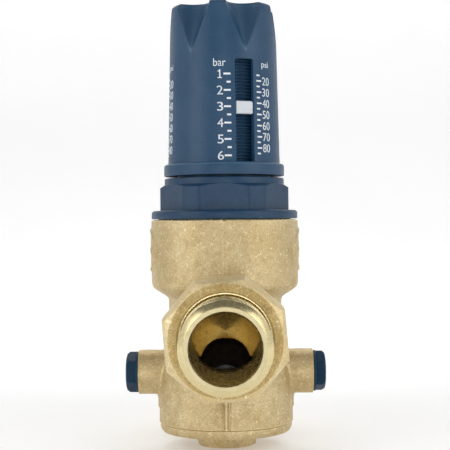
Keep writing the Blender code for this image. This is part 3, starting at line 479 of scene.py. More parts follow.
def machined_brass(name, tone, dark, axis, rough=(0.14, 0.26), relief=0.004, metallic=1.0):
    """Turned brass: fine lines round the axis, faint tarnish and handling marks."""
    m = Nodes(name, metallic=metallic)
    stretch = tuple(1.0 if letter == axis else 0.02 for letter in "xyz")
    lines = m.noise(0.16, 2, stretch=stretch)
    tarnish = m.ramp(m.noise(5.5, 4, 0.65), 0.5, 0.72, 0, 0.4)
    m.colour(m.mix(tarnish, m.mix(m.ramp(lines, 0.3, 0.7, 0, 0.35), tone, dark), dark))
    m.roughness(1.6, 4, *rough)
    fine = m.bump(lines, relief)
    m.bump(m.noise(2.5, 2), relief * 2, before=fine)
    return m.material


def cored_skin(name):
    """Unmachined inside of a core-formed passage: dull, and painted near-black and mottled for the shade
    deep inside it.
    """
    m = Nodes(name, metallic=0.2)
    m.colour(m.mix(m.ramp(m.noise(3.0, 4), 0.4, 0.7), (0.010, 0.006, 0.003), (0.035, 0.022, 0.010)))
    m.roughness(1.2, 3, 0.75, 0.95)
    m.bump(m.noise(0.8, 3), 0.1)
    return m.material


def steel(name):
    """Satin stainless steel with fine lines and faint smears."""
    m = Nodes(name, metallic=1.0)
    m.colour(m.mix(m.ramp(m.noise(3.0, 4), 0.4, 0.7), (0.52, 0.53, 0.54), (0.36, 0.36, 0.37)))
    m.roughness(1.0, 3, 0.24, 0.40)
    m.bump(m.noise(0.2, 2, stretch=(1.0, 1.0, 0.05)), 0.004)
    return m.material


def rubber(name, deep, light):
    """Moulded rubber or pressed fibre: matt, with a fine speckle."""
    m = Nodes(name)
    m.colour(m.mix(m.ramp(m.noise(0.8, 3), 0.4, 0.7), deep, light))
    m.roughness(1.5, 3, 0.62, 0.82)
    m.bump(m.noise(0.35, 3), 0.015)
    return m.material


def paint(piece, material):
    """Give a whole piece one material."""
    piece.data.materials.clear()
    piece.data.materials.append(material)
    return piece


def paint_where(piece, material, test):
    """Give a second material to the faces whose middles pass a test, in millimetres."""
    piece.data.materials.append(material)
    chosen = test(vectors(piece.data.polygons, "center") / MM)
    piece.data.polygons.foreach_set("material_index", chosen.astype(np.int32))
    return piece


def put(piece, body, slot, *nodes):
    """Hang a finished piece on the body it rides on and hide the CAD nodes it stands for; slot, the finish,
    is not used.
    """
    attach(piece, body)
    if nodes:
        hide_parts(*nodes)
    return piece


# ---------------- adjusting cap
def cap_side(height):
    """Radius of the cap's tapered side at a height."""
    return SIDE_RADIUS - SIDE_DRAFT * (height - FLANGE_HIGH)


def flute_floor(angle, height, number):
    """Radius of one flute's floor at an azimuth and height, past the cap's side where it has ended."""
    scoop = FLUTE_TOP_RADIUS * (height - FLUTE_APEX) / (CAP_TOP - FLUTE_APEX)
    off = wrapped(angle - math.radians(FLUTE_AZIMUTH + 360 / FLUTE_COUNT * number))
    reach = scoop ** 2 - (FLUTE_CENTRE * np.sin(off)) ** 2
    bow = np.where(reach > 0, -np.sqrt(np.abs(reach)), 3 * np.sqrt(np.abs(reach)))
    inside = (np.abs(off) < 1) & (scoop > 0)
    return np.where(inside, FLUTE_CENTRE * np.cos(off) + bow, 2 * FLUTE_CENTRE)


def fluted(angle, radius, height):
    """The cap's outline at a height: a circle with a scoop bitten out of it at each flute."""
    for number in range(FLUTE_COUNT):
        radius = soft_min(radius, flute_floor(angle, height, number), FLUTE_EDGE)
    return radius


def mark_flute_rims(cap):
    """Mesh attribute that is 1 along the rims of the flutes and of the flange, where the cap's plastic
    paints its edge highlight.
    """
    x, y, z = vectors(cap.data.vertices, "co").T / MM
    angle, radius = np.arctan2(x, -y), np.hypot(x, y)
    gap = np.min([flute_floor(angle, z, number) - cap_side(z) for number in range(FLUTE_COUNT)], axis=0)
    rim = np.exp(-(gap / 0.4) ** 2) * (radius > 16)
    rim += np.exp(-((np.hypot(radius - CAP_FLANGE_RADIUS, z - FLANGE_HIGH) - 0.45) / 0.3) ** 2)
    attribute = cap.data.attributes.new("rim", "FLOAT", "POINT")
    attribute.data.foreach_set("value", np.clip(rim, 0, 1).astype(np.float32))


def window_cutter(name, azimuth):
    """Rounded window that flares by half a millimetre where it meets the outside."""
    top_corner, foot_corner, bevel, outside, inside, steps = 0.8, 0.3, 0.28, 3.0, -4.0, 8
    rows = []
    for depth, grow in ((outside, 2 * bevel), (bevel, 2 * bevel), (-bevel, 0.0), (inside, 0.0)):
        right, high, low = WINDOW_HALF_WIDTH + grow, WINDOW_HIGH + grow, WINDOW_LOW - min(grow, 0.1)
        outline = []
        for x, z, start in ((right, high, 0), (-right, high, 90), (-right, low, 180), (right, low, 270)):
            corner = top_corner + grow if start < 180 else foot_corner
            outline += corner_arc(x, z, corner, start)
            if start in (0, 180):
                reach = math.copysign(right - corner, x)
                level = outline[-1][1]
                outline += [(reach * (1 - 2 * i / steps), level) for i in range(1, steps)]
        rows.append([polar(cap_side(z) + depth, math.radians(azimuth) + x / cap_side(z), z)
                     for x, z in outline])
    return skin(name, rows)


def make_cap():
    """Cap with fluted sides, a flange at its foot, three windows and a recess for its screw."""
    segments, fillet, recess, floor = 900, 1.8, 7.5, CAP_TOP - 3.2
    bore, ceiling, core, core_top, hub, hub_low, hole = 20.7, 159.2, 12.0, 175.4, 8.3, 162.0, 2.6
    centre, flutes_end = CAP_TOP - fillet, 157.0
    side = cap_side(centre)
    rows = [rings([(radius, CAP_TOP)], segments)[0] for radius in (recess, 9.5, 11.6)]
    for turn in np.radians(np.linspace(90, 0, 9)):
        inset = fillet * (1 - math.cos(turn))
        row = rings([(side, centre)], segments, lambda a, r, z: fluted(a, r, z) - inset)[0]
        row[:, 2] = centre + fillet * math.sin(turn)
        rows.append(row)
    heights = np.concatenate([np.arange(centre - 0.3, flutes_end, -0.3),
                              np.arange(flutes_end - 1, FLANGE_HIGH + 1, -3.0)])
    rows += [rings([(cap_side(height), height)], segments, fluted)[0] for height in heights]
    lower = [(SIDE_RADIUS, FLANGE_HIGH + 0.35), (SIDE_RADIUS + 0.15, FLANGE_HIGH + 0.08),
             (SIDE_RADIUS + 0.6, FLANGE_HIGH)]
    lower += arc((CAP_FLANGE_RADIUS - 1.1, FLANGE_HIGH - 1.1), 1.1, 90, 0, 6)
    lower += arc((CAP_FLANGE_RADIUS - 0.35, CAP_LOW + 0.35), 0.35, 0, -90, 3)
    lower += [(bore + 0.3, CAP_LOW), (bore, CAP_LOW + 0.3), (bore, ceiling), (core, ceiling),
              (core, core_top), (hub, core_top), (hub, hub_low), (hole, hub_low), (hole, floor),
              (recess - 0.3, floor), (recess, floor + 0.3), (recess, CAP_TOP - 0.3)]
    rows += list(rings(lower, segments))
    cap = skin("adjusting_cap_shell", rows, loop=True)
    boolean(cap, [window_cutter(f"window_{i}", azimuth) for i, azimuth in enumerate(WINDOW_AZIMUTHS)])
    mark_flute_rims(cap)
    return smooth(cap, 38)


def wrap_on_cap(piece, azimuth):
    """Lay a flat mesh in the XZ plane on the cap: its Y is the height above the surface."""
    lift = 0.06
    x, y, z = vectors(piece.data.vertices, "co").T / MM
    radius = cap_side(z) + y + lift
    turn = math.radians(azimuth) + x / (radius - y)
    return place_vertices(piece, np.stack([radius * np.sin(turn), -radius * np.cos(turn), z], 1) * MM)


def slab(form, x0, x1, z0, z1):
    """Thin printed bar, in millimetres, split along its length so that it can bend."""
    count = max(1, math.ceil((x1 - x0) / PRINT_SPLIT))
    grid = []
    for i in range(count + 1):
        x = x0 + (x1 - x0) * i / count
        grid.append([form.verts.new(Vector((x, y, z)) * MM)
                     for y, z in ((0, z0), (0, z1), (-PRINT_DEPTH, z1), (-PRINT_DEPTH, z0))])
    for first, second in zip(grid, grid[1:]):
        for j in range(4):
            k = (j + 1) % 4
            form.faces.new((first[j], first[k], second[k], second[j]))
    form.faces.new(grid[0][::-1])
    form.faces.new(grid[-1])


def centred(values):
    """The same spread of values, from -0.5 to 0.5."""
    return (values - (values.max() + values.min()) / 2) / np.ptp(values)


def lettering(form, text, x, z, height, width):
    """Figures or a word centred on (x, z), in millimetres, as thin solid print."""
    curve = bpy.data.curves.new("print", "FONT")
    curve.body = text
    curve.extrude = PRINT_DEPTH / 2
    curve.resolution_u = 6
    letters = add_object("print", curve)
    mesh = final_mesh(letters)
    remove(letters)
    across, up, out = vectors(mesh.vertices, "co").T
    placed = np.stack([x + width * centred(across), out - PRINT_DEPTH / 2, z + height * centred(up)], 1)
    mesh.vertices.foreach_set("co", (placed * MM).ravel())
    cuts = bmesh.new()
    cuts.from_mesh(mesh)
    for cut_x in np.arange(x - width / 2 + PRINT_SPLIT, x + width / 2, PRINT_SPLIT):
        bmesh.ops.bisect_plane(cuts, geom=cuts.verts[:] + cuts.edges[:] + cuts.faces[:],
                               plane_co=(cut_x * MM, 0, 0), plane_no=(1, 0, 0))
    bmesh.ops.remove_doubles(cuts, verts=cuts.verts[:], dist=1e-7)
    bmesh.ops.recalc_face_normals(cuts, faces=cuts.faces[:])
    cuts.to_mesh(mesh)
    cuts.free()
    form.from_mesh(mesh)
    bpy.data.meshes.remove(mesh)


def figure_one(form, x, z):
    """The figure 1 as three bars: stem, flag and foot."""
    slab(form, x - 0.15, x + 0.32, z - 1.4, z + 1.75)
    slab(form, x - 0.75, x - 0.15, z + 0.85, z + 1.25)
    slab(form, x - 0.85, x + 0.95, z - 1.75, z - 1.4)


def make_scale(number, azimuth):
    """Printed scales beside one window: bar on the left and psi on the right."""
    degree = math.radians(1) * cap_side(137)   # width of a degree at the middle of the scale
    bar_ticks, bar_long, bar_short, bar_figures = (side * degree for side in (-14.9, -22.0, -19.0, -25.9))
    psi_ticks, psi_long, psi_short, psi_figures = (side * degree for side in (13.8, 19.9, 17.8, 26.6))
    bar_half, psi_half = 0.36, 0.36 * 0.85
    form = bmesh.new()
    for half_bars in range(2, 13):
        z = BAR_ONE_HEIGHT - BAR_STEP * (half_bars / 2 - 1)
        long = half_bars % 2 == 0
        slab(form, bar_long if long else bar_short, bar_ticks, z - bar_half, z + bar_half)
        if half_bars == 2:
            figure_one(form, bar_figures, z)
        elif long:
            lettering(form, str(half_bars // 2), bar_figures, z, 3.5, 2.4)
    for psi in range(15, 90, 5):
        z = BAR_ONE_HEIGHT - BAR_STEP * (psi / PSI_PER_BAR - 1)
        long = psi % 10 == 0
        slab(form, psi_ticks, psi_long if long else psi_short, z - psi_half, z + psi_half)
        if long:
            lettering(form, str(psi), psi_figures, z, 3.3, 4.2)
    lettering(form, "bar", bar_figures, BAR_WORD_HEIGHT, 3.1, 5.0)
    lettering(form, "psi", 25.8 * degree, PSI_WORD_HEIGHT, 3.1, 4.0)
    bmesh.ops.recalc_face_normals(form, faces=form.faces[:])
    bmesh.ops.reverse_faces(form, faces=form.faces[:])   # laying it on the cap mirrors it
    piece = add_form(f"scale_print_{number}", form)
    return smooth(wrap_on_cap(piece, azimuth), 30)


def make_indicator():
    """Ring on the neck's thread with a lug for each window."""
    inner, band = NECK_RADIUS + 0.3, NECK_RADIUS + 1.0
    low, high = INDICATOR_LOW + 0.2, INDICATOR_HIGH - 0.2
    ring = turned("indicator_collar", [(band, high), (band, low), (inner, low), (inner, high)], 240)
    lugs = [make_lug(azimuth, band - 0.25, SIDE_RADIUS - 0.72) for azimuth in WINDOW_AZIMUTHS]
    return smooth(boolean(ring, lugs, "UNION"), 35)


def make_lug(azimuth, inner, face):
    """Indicator lug with softened edges and a small pointer nib on its right side."""
    half, foot, nib = WINDOW_HALF_WIDTH - 0.3, 0.15, 0.12
    rows = []
    for radius, inset in ((inner, 0.0), (face - 0.35, 0.0), (face - 0.1, 0.1), (face, 0.35)):
        x1, x0 = half - inset, -half + inset
        z1, z0 = INDICATOR_HIGH - inset, INDICATOR_LOW + inset + foot
        outline = corner_arc(x1, z1, 0.75, 0)
        for x, z, start in ((x0, z1, 90), (x0, z0, 180), (x1, z0, 270)):
            outline += corner_arc(x, z, 0.3, start)
        middle = (z0 + z1) / 2 + 0.1
        outline += [(x1, middle - 0.55), (x1 + nib - 0.2 * inset, middle), (x1, middle + 0.45)]
        rows.append([polar(radius, math.radians(azimuth) + x / face, z) for x, z in outline])
    return skin("lug", rows[::-1])


# ---------------- bonnet
def make_bonnet():
    """Spring housing: flange, hexagon, collar and threaded neck, hollow for the spring."""
    collar, collar_low, collar_high = 24.7, 107.2, CAP_LOW - 0.9
    flange_high, cone_low = 96.6, 105.95
    spigot, chamber, chamber_high, core, core_low, wall, hole = 27.3, 22.5, 84.0, 16.5, 88.0, 153.3, 5.5

    def outline(angle, radius, height):
        if radius[0] > 19.5 and flange_high + 0.1 < height < collar_low + 0.05:
            blank = np.minimum(radius, HEXAGON_CORNER)
            return soft_min(blank, polygon(6, HEXAGON_APOTHEM, 0, angle), 0.25)
        if abs(radius[0] - NECK_RADIUS) < 0.02:
            run = fade(height, collar_high + 0.8, collar_high + 2.0)
            run = run * (1 - fade(height, NECK_TOP - 1.0, NECK_TOP - 0.5))
            return radius - run * thread(angle, height, NECK_PITCH, NECK_THREAD_DEPTH, hand=-1)
        return radius

    profile = [(NECK_RADIUS - 0.5, NECK_TOP)]
    profile += [(NECK_RADIUS, z) for z in np.arange(NECK_TOP - 0.5, collar_high, -0.15)]
    profile.append((NECK_RADIUS + 0.05, collar_high))
    profile += arc((collar - 0.5, collar_high - 0.5), 0.5, 90, 0, 4)
    profile += [(collar, collar_low + 0.25)]
    profile += dense([(collar, collar_low), (HEXAGON_CORNER - 0.05, cone_low + 0.05)], 0.12)
    profile += dense([(HEXAGON_CORNER, cone_low - 0.1), (HEXAGON_CORNER, flange_high + 0.4)], 1.5)
    profile += [(HEXAGON_CORNER + 0.05, flange_high + 0.12), (HEXAGON_CORNER + 0.4, flange_high)]
    profile += arc((BONNET_RADIUS - 1.3, flange_high - 1.3), 1.3, 90, 0, 7)
    profile += arc((BONNET_RADIUS - 0.2, BODY_TOP + 0.5), 0.2, 0, -90, 2)
    profile += [(spigot, BODY_TOP + 0.3), (spigot, BONNET_LOW + 0.5), (spigot - 0.5, BONNET_LOW),
                (chamber, BONNET_LOW), (chamber, chamber_high), (core, core_low), (core, wall),
                (hole, wall), (hole, NECK_TOP)]
    return smooth(turned("spring_bonnet", profile, 720, outline), 35)


# ---------------- cast body
def arrow(points):
    """1 on the flow arrow of a side pad, which points towards the outlet."""
    along, up = points[:, 1], np.abs(points[:, 2] - PAD_HEIGHT)
    shaft = (1 - fade(up, 0.9, 1.5)) * fade(along, -7.4, -6.8) * (1 - fade(along, 2.0, 2.6))
    head = fade(along, 1.2, 1.8) * (1 - fade(up + 0.62 * (along - 1.5), 3.4, 4.0))
    return np.maximum(shaft, head)


def cast_relief(points, normals):
    """How far each point of the casting stands out: parting line with a groove on each side, side
    pads with the flow arrow, a small mark under each gauge boss, faint waves and pits."""
    x, y, z = points.T
    side = np.abs(normals[:, 0])
    rim = np.hypot(y / PAD_HALF_LENGTH, (z - PAD_HEIGHT) / PAD_HALF_HEIGHT)   # 1 at the pad's rim
    plate, lip = 1 - fade(rim, 0.93, 1.03), 1 - fade(np.abs(rim - 0.9), 0.05, 0.12)
    bowl = (np.abs(x) > 20) & (side > 0.5)
    proud = np.where(bowl, PAD_PROUD / 2 * (plate + lip + arrow(points)), 0)
    mark = np.maximum(np.abs(y) / 5.0, np.abs(z - 19.5) / 3.6)
    proud += np.where((side > 0.6) & (np.abs(x) > 20), 0.5 * (1 - fade(mark, 0.9, 1.1)), 0)
    seam = 1 - fade(np.abs(x), 0.45, 0.85)
    groove = 1 - fade(np.abs(np.abs(x) - 1.4), 0.2, 0.6)
    strength = np.where(z < 34, 1.0, 0.32)
    proud += np.where(np.abs(y) > 18, (seam - 0.35 * groove) * strength, 0)
    waves = 0.05 * np.sin(x * 0.9 + 1.3 * np.sin(z * 0.45)) * np.sin(y * 0.8 + 0.6 * np.sin(z * 0.7))
    pits = 0.035 * np.sin(x * 4.1 + y * 2.3) * np.sin(z * 3.7 - y * 3.1) * np.sin(x * 2.9 - z * 4.3)
    return normals * (proud + waves + pits)[:, None]


def cast_form():
    """The body before machining, with fillets left by the casting where its lumps meet."""
    profile = [(BOWL_RADIUS, BODY_TOP + 3), (BOWL_RADIUS, 66.4), (29.8, 65.2), (29.0, 64.5), (23.6, 61.0),
               (BODY_NECK_RADIUS, 60.0), (BODY_NECK_RADIUS, 38.5), (24.6, 36.0), (26.6, 32.5),
               (LOWER_BODY_RADIUS, 29.0), (LOWER_BODY_RADIUS, BODY_LOW - 3)]
    lumps = [turned("cast_trunk", dense(profile, 2.0), 200, loop=False)]
    for side in (-1, 1):
        port, boss = (0, side * (PORT_FACE + 3), FLOW_HEIGHT), (side * (BOSS_END + 3), 0, GAUGE_HEIGHT)
        lumps.append(cylinder("cast_port", (0, 0, FLOW_HEIGHT), port, PORT_RADIUS + 0.1, 160))
        lumps.append(cylinder("cast_boss", (0, 0, GAUGE_HEIGHT), boss, GAUGE_BOSS_RADIUS, 96))
    cast = joined("valve_body_casting", lumps)
    remesh = cast.modifiers.new("remesh", "REMESH")
    remesh.mode = "VOXEL"
    remesh.voxel_size = CAST_STEP * MM
    fillets = cast.modifiers.new("fillets", "SMOOTH")
    fillets.factor = 0.5
    fillets.iterations = 16
    settle(cast)
    points = vectors(cast.data.vertices, "co")
    relief = cast_relief(points / MM, vectors(cast.data.vertex_normals, "vector"))
    return place_vertices(cast, points + relief * MM)


def port_cutter(direction, shoulder, end, end_radius):
    """Face and bore of one port, which tapers from a shoulder to its end."""
    profile = [(30, PORT_FACE + 6), (30, PORT_FACE), (PASSAGE_RADIUS + 0.6, PORT_FACE),
               (PASSAGE_RADIUS, PORT_FACE - 0.6), (PASSAGE_RADIUS, shoulder), (end_radius, end)]
    return aim(turned("port_cutter", profile, 128, loop=False), direction, FLOW_HEIGHT)


def port_thread_cutter(direction):
    """Ring that leaves the union thread on a port."""
    def outline(angle, radius, height):
        if radius[0] > 22:
            return radius
        run = fade(height, PORT_THREAD_START, PORT_THREAD_START + 1.5)
        chamfer = np.maximum(height - (PORT_FACE - 1.2), 0)
        return radius - np.maximum(run * thread(angle, height, PIPE_PITCH, PIPE_THREAD_DEPTH), chamfer)

    profile = [(26, PORT_FACE + 1.2), (26, PORT_THREAD_START - 1.5),
               (PORT_RADIUS + 0.3, PORT_THREAD_START - 0.2)]
    profile += [(PORT_RADIUS, z) for z in np.arange(PORT_THREAD_START, PORT_FACE + 1.3, 0.2)]
    return aim(turned("port_thread_cutter", profile, 180, outline), direction, FLOW_HEIGHT)


def make_body(cast, machined, painted_shade):
    """Casting, machined to the frame's faces and bores, with the core-formed passage to the strainer, lined
    with painted shade.
    """
    clear, bowl, seat, chamber, chamber_low = 40, 27.6, 72.0, 22.0, 66.3
    cartridge, strainer, strainer_high, screw, screw_high = 14.0, 18.5, 36.0, 22.0, 17.3
    trunk = [(clear, BODY_TOP + 6), (clear, BODY_TOP - 1.0), (30.8, BODY_TOP - 1.0), (29.8, BODY_TOP),
             (bowl, BODY_TOP), (bowl, seat), (chamber, seat), (chamber, chamber_low),
             (cartridge, chamber_low), (cartridge, strainer_high), (strainer, strainer_high),
             (strainer, screw_high), (screw, screw_high), (screw, BODY_LOW), (27.3, BODY_LOW),
             (27.8, BODY_LOW + 0.5), (clear, BODY_LOW + 0.5), (clear, BODY_LOW - 6)]
    drop = cylinder("drop_cutter", DROP_START, DROP_END, DROP_HALF_WIDTH, 96, DROP_ARCH, DROP_SOLE)
    link = cylinder("link_cutter", LINK_START, LINK_END, LINK_RADIUS, 64)
    cutters = [turned("trunk_cutter", trunk, 256, loop=False),
               port_cutter("inlet", INLET_SHOULDER, DRILL_APEX, 0.02),
               port_cutter("outlet", OUTLET_SHOULDER, OUTLET_END, PASSAGE_RADIUS - 0.5),
               port_thread_cutter("inlet"), port_thread_cutter("outlet")]
    for direction in ("left", "right"):
        hole = [(12, BOSS_END + 5), (12, BOSS_END), (GAUGE_HOLE_RADIUS, BOSS_END),
                (GAUGE_HOLE_RADIUS, GAUGE_HOLE_END)]
        cutters.append(aim(turned("gauge_cutter", hole, 72, loop=False), direction, GAUGE_HEIGHT))
    # the drop and link passages get the painted shade: a near-black lining where light hardly reaches
    painted = [paint(cutter, machined) for cutter in cutters] + [paint(drop, painted_shade), paint(link, painted_shade)]
    return smooth(boolean(paint(cast_form(), cast), painted), 40)


def make_bottom_plug():
    """Screwed plug with a forged hexagon under a domed flange."""
    def outline(angle, radius, height):
        if radius[0] > 18 or height > 6.05:
            return radius
        return soft_min(radius, polygon(6, apothem, 36, angle), 0.5)

    flange, top, apothem, corner = 27.2, 9.4, 11.5, 13.5
    spigot, cup, cup_floor = 21.7, 18.0, 11.9
    profile = [(cup, PLUG_TOP), (spigot - 0.5, PLUG_TOP), (spigot, PLUG_TOP - 0.5), (spigot, top + 0.15),
               (flange - 0.15, top + 0.15), (flange, top), (flange, top - 0.9)]
    profile += arc((flange - 3.2, top - 0.9), 3.2, 0, -50, 8)[1:]
    profile += [(flange - 4.5, 6.12), (18.2, 6.1), (14.6, 6.08)] + arc((14.6, 5.0), 1.0, 90, 180, 5)
    profile += [(corner, 4.0), (corner - 0.1, 1.7), (13.0, 1.0), (11.9, 0.3), (11.2, 0.0), (4.0, 0.0),
                (0.02, 0.0), (0.02, cup_floor), (cup, cup_floor)]
    return smooth(turned("bottom_plug_forging", profile, 480, outline), 40)


# ---------------- gauge plugs
def make_gauge_plug(side):
    """Hexagon-headed screw plug in the gauge port, with a thin collar under its head."""
    def outline(angle, radius, height):
        if radius[0] < shank + 0.1 or height < collar_end:
            return radius
        return soft_min(radius, polygon(6, apothem, 36, angle), 0.3)

    end, apothem, corner = GAUGE_PLUG_END, 7.3, 8.45
    head_low, collar_end, shank, shank_end, neck = 36.2, 37.0, 5.6, 25.0, 4.1
    head = [(0.02, end - 1.1), (3.0, end - 1.1), (3.4, end - 0.2), (3.9, end)]
    head += [(6.2, end), (7.4, end - 0.35), (7.9, end - 0.9), (corner, end - 1.4)]
    head += [(corner, collar_end + 0.2), (corner, collar_end - 0.05), (corner - 0.15, head_low)]
    stem = [(shank, head_low)] + [(shank, z) for z in np.arange(35.8, 33.0, -0.2)]
    stem += [(shank, 32.5), (neck, 32.5), (neck, 30.5), (shank, 30.5), (shank, shank_end), (0.02, shank_end)]
    plug = turned(f"gauge_screw_{side}", head + stem, 288, outline, loop=False)
    return smooth(aim(plug, side, GAUGE_HEIGHT), 35)


# ---------------- unions
def make_union_nut(side):
    """Octagonal nut with drafted flats, a chamfer on each end and a threaded bore."""
    apothem, corner, turn, lip, lip_depth, bore = 23.0, 24.75, 4.7, 17.6, 4.0, 21.3
    inner, outer = NUT_INNER_END, NUT_OUTER_END
    slope = outer - 4.1

    def outline(angle, radius, height):
        if radius[0] > 21.5:
            flat = apothem - 0.4 * (height - inner) / (outer - inner) - 0.36 * max(0, height - slope)
            return soft_min(radius, polygon(8, flat, turn, angle), 0.2)
        if abs(radius[0] - bore) < 0.01:
            run = 1 - fade(height, outer - 6.5, outer - 5.0)
            return radius - run * thread(angle, height, PIPE_PITCH, 1.0)
        return radius

    chamfer = dense([(20.2, outer), (20.9, outer - 0.25), (corner, outer - 2.6)], 0.2)
    profile = [(lip, outer - 0.5), (lip + 0.5, outer), (19.0, outer)] + chamfer
    profile += dense([(corner, outer - 2.8), (corner, slope - 0.2)], 0.2)[1:]
    profile += dense([(corner, slope - 0.4), (corner, inner + 2.4)], 1.0)
    profile += dense([(corner, inner + 2.2), (21.9, inner)], 0.25)
    profile += [(bore + 0.2, inner), (bore, inner + 0.3)]
    profile += [(bore, z) for z in np.arange(inner + 0.6, outer - 4.6, 0.2)]
    profile += [(bore, outer - lip_depth), (lip, outer - lip_depth)]
    nut = turned(f"union_nut_{side}_forging", profile, 480, outline)
    return smooth(aim(nut, side, FLOW_HEIGHT), 30)


def make_tail(side):
    """Tailpiece: a collar behind the nut, a shank with a taper pipe thread and a bright end."""
    bore, ring, shank, collar, collar_end = 12.46, 14.4, 16.6, 20.9, 58.7
    end, start = TAIL_END, TAIL_INNER_END

    def outline(angle, radius, height):
        if abs(radius[0] - shank) > 0.01:
            return radius
        run = fade(height, 68.0, 70.0) * (1 - fade(height, end - 3.4, end - 2.2))
        return radius - run * thread(angle, height, PIPE_PITCH, PIPE_THREAD_DEPTH)

    profile = [(bore + 0.45, end), (ring - 0.15, end), (ring, end - 0.12), (shank - 0.1, end - 1.95)]
    profile += [(shank, z) for z in np.arange(end - 2.1, 67.0, -0.2)]
    profile += [(shank - 0.02, 66.5), (shank - 0.02, 60.4), (shank + 0.4, 58.9),
                (collar - 0.4, collar_end), (collar, 58.3), (collar, start + 0.4), (collar - 0.4, start),
                (bore + 0.4, start), (bore, start + 0.4), (bore, end - 0.6)]
    tail = turned(f"tailpiece_{side}_turning", profile, 360, outline)
    return smooth(aim(tail, side, FLOW_HEIGHT), 36)


def make_cap_screw():
    """Pan-head screw with a cross recess, in the top of the cap."""
    low, high = span("cap_screw", 2)
    head = high - 2.2
    profile = [(0.02, high), (1.6, high - 0.06)] + arc((2.9, head + 0.7), 1.5, 75, 0, 8)
    profile += [(4.4, head + 0.1), (4.3, head), (2.2, head), (2.2, low + 0.7), (0.02, low)]
    screw = turned("cap_screw_pan_head", profile, 96, loop=False)
    arms = []
    for width, length in ((0.9, 4.6), (4.6, 0.9)):
        rows = [[(x * width / 2 * s, y * length / 2 * s, z) for x, y in ((-1, -1), (1, -1), (1, 1), (-1, 1))]
                for z, s in ((high + 0.5, 1.0), (high - 1.6, 0.7))]
        arms.append(skin("recess", rows))
    return smooth(boolean(screw, arms), 35)


def make_spring():
    """Pressure spring: a round wire with a closed turn at each end and six active turns."""
    wire, closed, active, rise, steps = SPRING_WIRE_RADIUS, SPRING_END_TURNS, SPRING_ACTIVE_TURNS, 3.6, 60
    low, high = span("pressure_spring", 2)
    low, high = low + wire, high - wire
    bends = [0, closed, closed + active, 2 * closed + active]
    levels = [low, low + rise * closed, high - rise * closed, high]
    rows = []
    for i in range(int(bends[-1] * steps) + 1):
        turn = i / steps
        section = arc((SPRING_RADIUS, np.interp(turn, bends, levels)), wire, 0, 360, 14)[:-1]
        rows.append([polar(radius, math.tau * turn, z) for radius, z in section])
    return smooth(outward(skin("pressure_spring_coil", rows)), 50)


def make_diaphragm_sector(number):
    """One sector of the diaphragm, as a mesh of its own."""
    steps = 4
    low, high = span("diaphragm", 2)
    top = dense([(DIAPHRAGM_HOLE_RADIUS, high), (span("diaphragm", 0)[1], high)], 1.2)
    loop = top + [(r, low) for r, _ in top[::-1]]
    first = math.tau * number / DIAPHRAGM_SECTORS
    turns = [first + math.tau / DIAPHRAGM_SECTORS * i / steps for i in range(steps + 1)]
    rows = [[polar(r, turn, z) for r, z in loop] for turn in turns]
    return smooth(outward(skin(f"diaphragm_sector_{number + 1}", rows)), 50)


# ---------------- build
cap_plastic = plastic("cap_plastic", (0.010, 0.050, 0.110), (0.018, 0.060, 0.122), (0.07, 0.15, 0.24),
                      rim="rim")
bonnet_plastic = plastic("bonnet_plastic", (0.003, 0.031, 0.080), (0.007, 0.041, 0.092), (0.07, 0.14, 0.22))
plug_plastic = plastic("plug_plastic", (0.004, 0.024, 0.055), (0.008, 0.034, 0.070), (0.04, 0.10, 0.16),
                       gloss=0.12)
print_white = plastic("print_white", (0.52, 0.58, 0.65), (0.66, 0.71, 0.76), (0.80, 0.84, 0.88), grain=0.005)
white_plastic = plastic("white_plastic", (0.50, 0.54, 0.58), (0.60, 0.64, 0.68), (0.80, 0.83, 0.86))
body_brass = cast_brass("body_brass", (0.38, 0.27, 0.12), (0.60, 0.47, 0.25), (0.72, 0.60, 0.36))
nut_brass = cast_brass("nut_brass", (0.50, 0.36, 0.16), (0.72, 0.57, 0.29), (0.84, 0.71, 0.42),
                       rough=(0.40, 0.56), grain=0.025, metallic=0.5, rub_and_highlight=(0.515, 0.57))
ring_brass = cast_brass("ring_brass", (0.28, 0.18, 0.06), (0.56, 0.40, 0.15), (0.70, 0.54, 0.25),
                        grain=0.07, metallic=0.5)
# painted light: a brighter copy of turned brass, so that the deep bore and its cone look lit
bore_brass_painted_light = machined_brass("bore_brass_painted_light", (1.0, 0.88, 0.54), (0.66, 0.45, 0.18), "y", (0.18, 0.30),
                            relief=0.002, metallic=0.9)
tail_brass = machined_brass("tail_brass", (0.78, 0.67, 0.38), (0.60, 0.47, 0.22), "y", (0.20, 0.32),
                            relief=0.0003)
face_brass = machined_brass("face_brass", (0.68, 0.59, 0.35), (0.50, 0.41, 0.21), "y", (0.42, 0.55),
                            relief=0.008, metallic=0.7)
stem_brass = machined_brass("stem_brass", (0.80, 0.67, 0.38), (0.50, 0.38, 0.18), "z")
# painted shade: near-black lining for the core-formed passages
painted_shade_brass = cored_skin("painted_shade_brass")
satin_steel = steel("satin_steel")
black_rubber = rubber("black_rubber", (0.012, 0.012, 0.014), (0.035, 0.035, 0.038))
gasket_fibre = rubber("gasket_fibre", (0.075, 0.11, 0.075), (0.15, 0.20, 0.15))

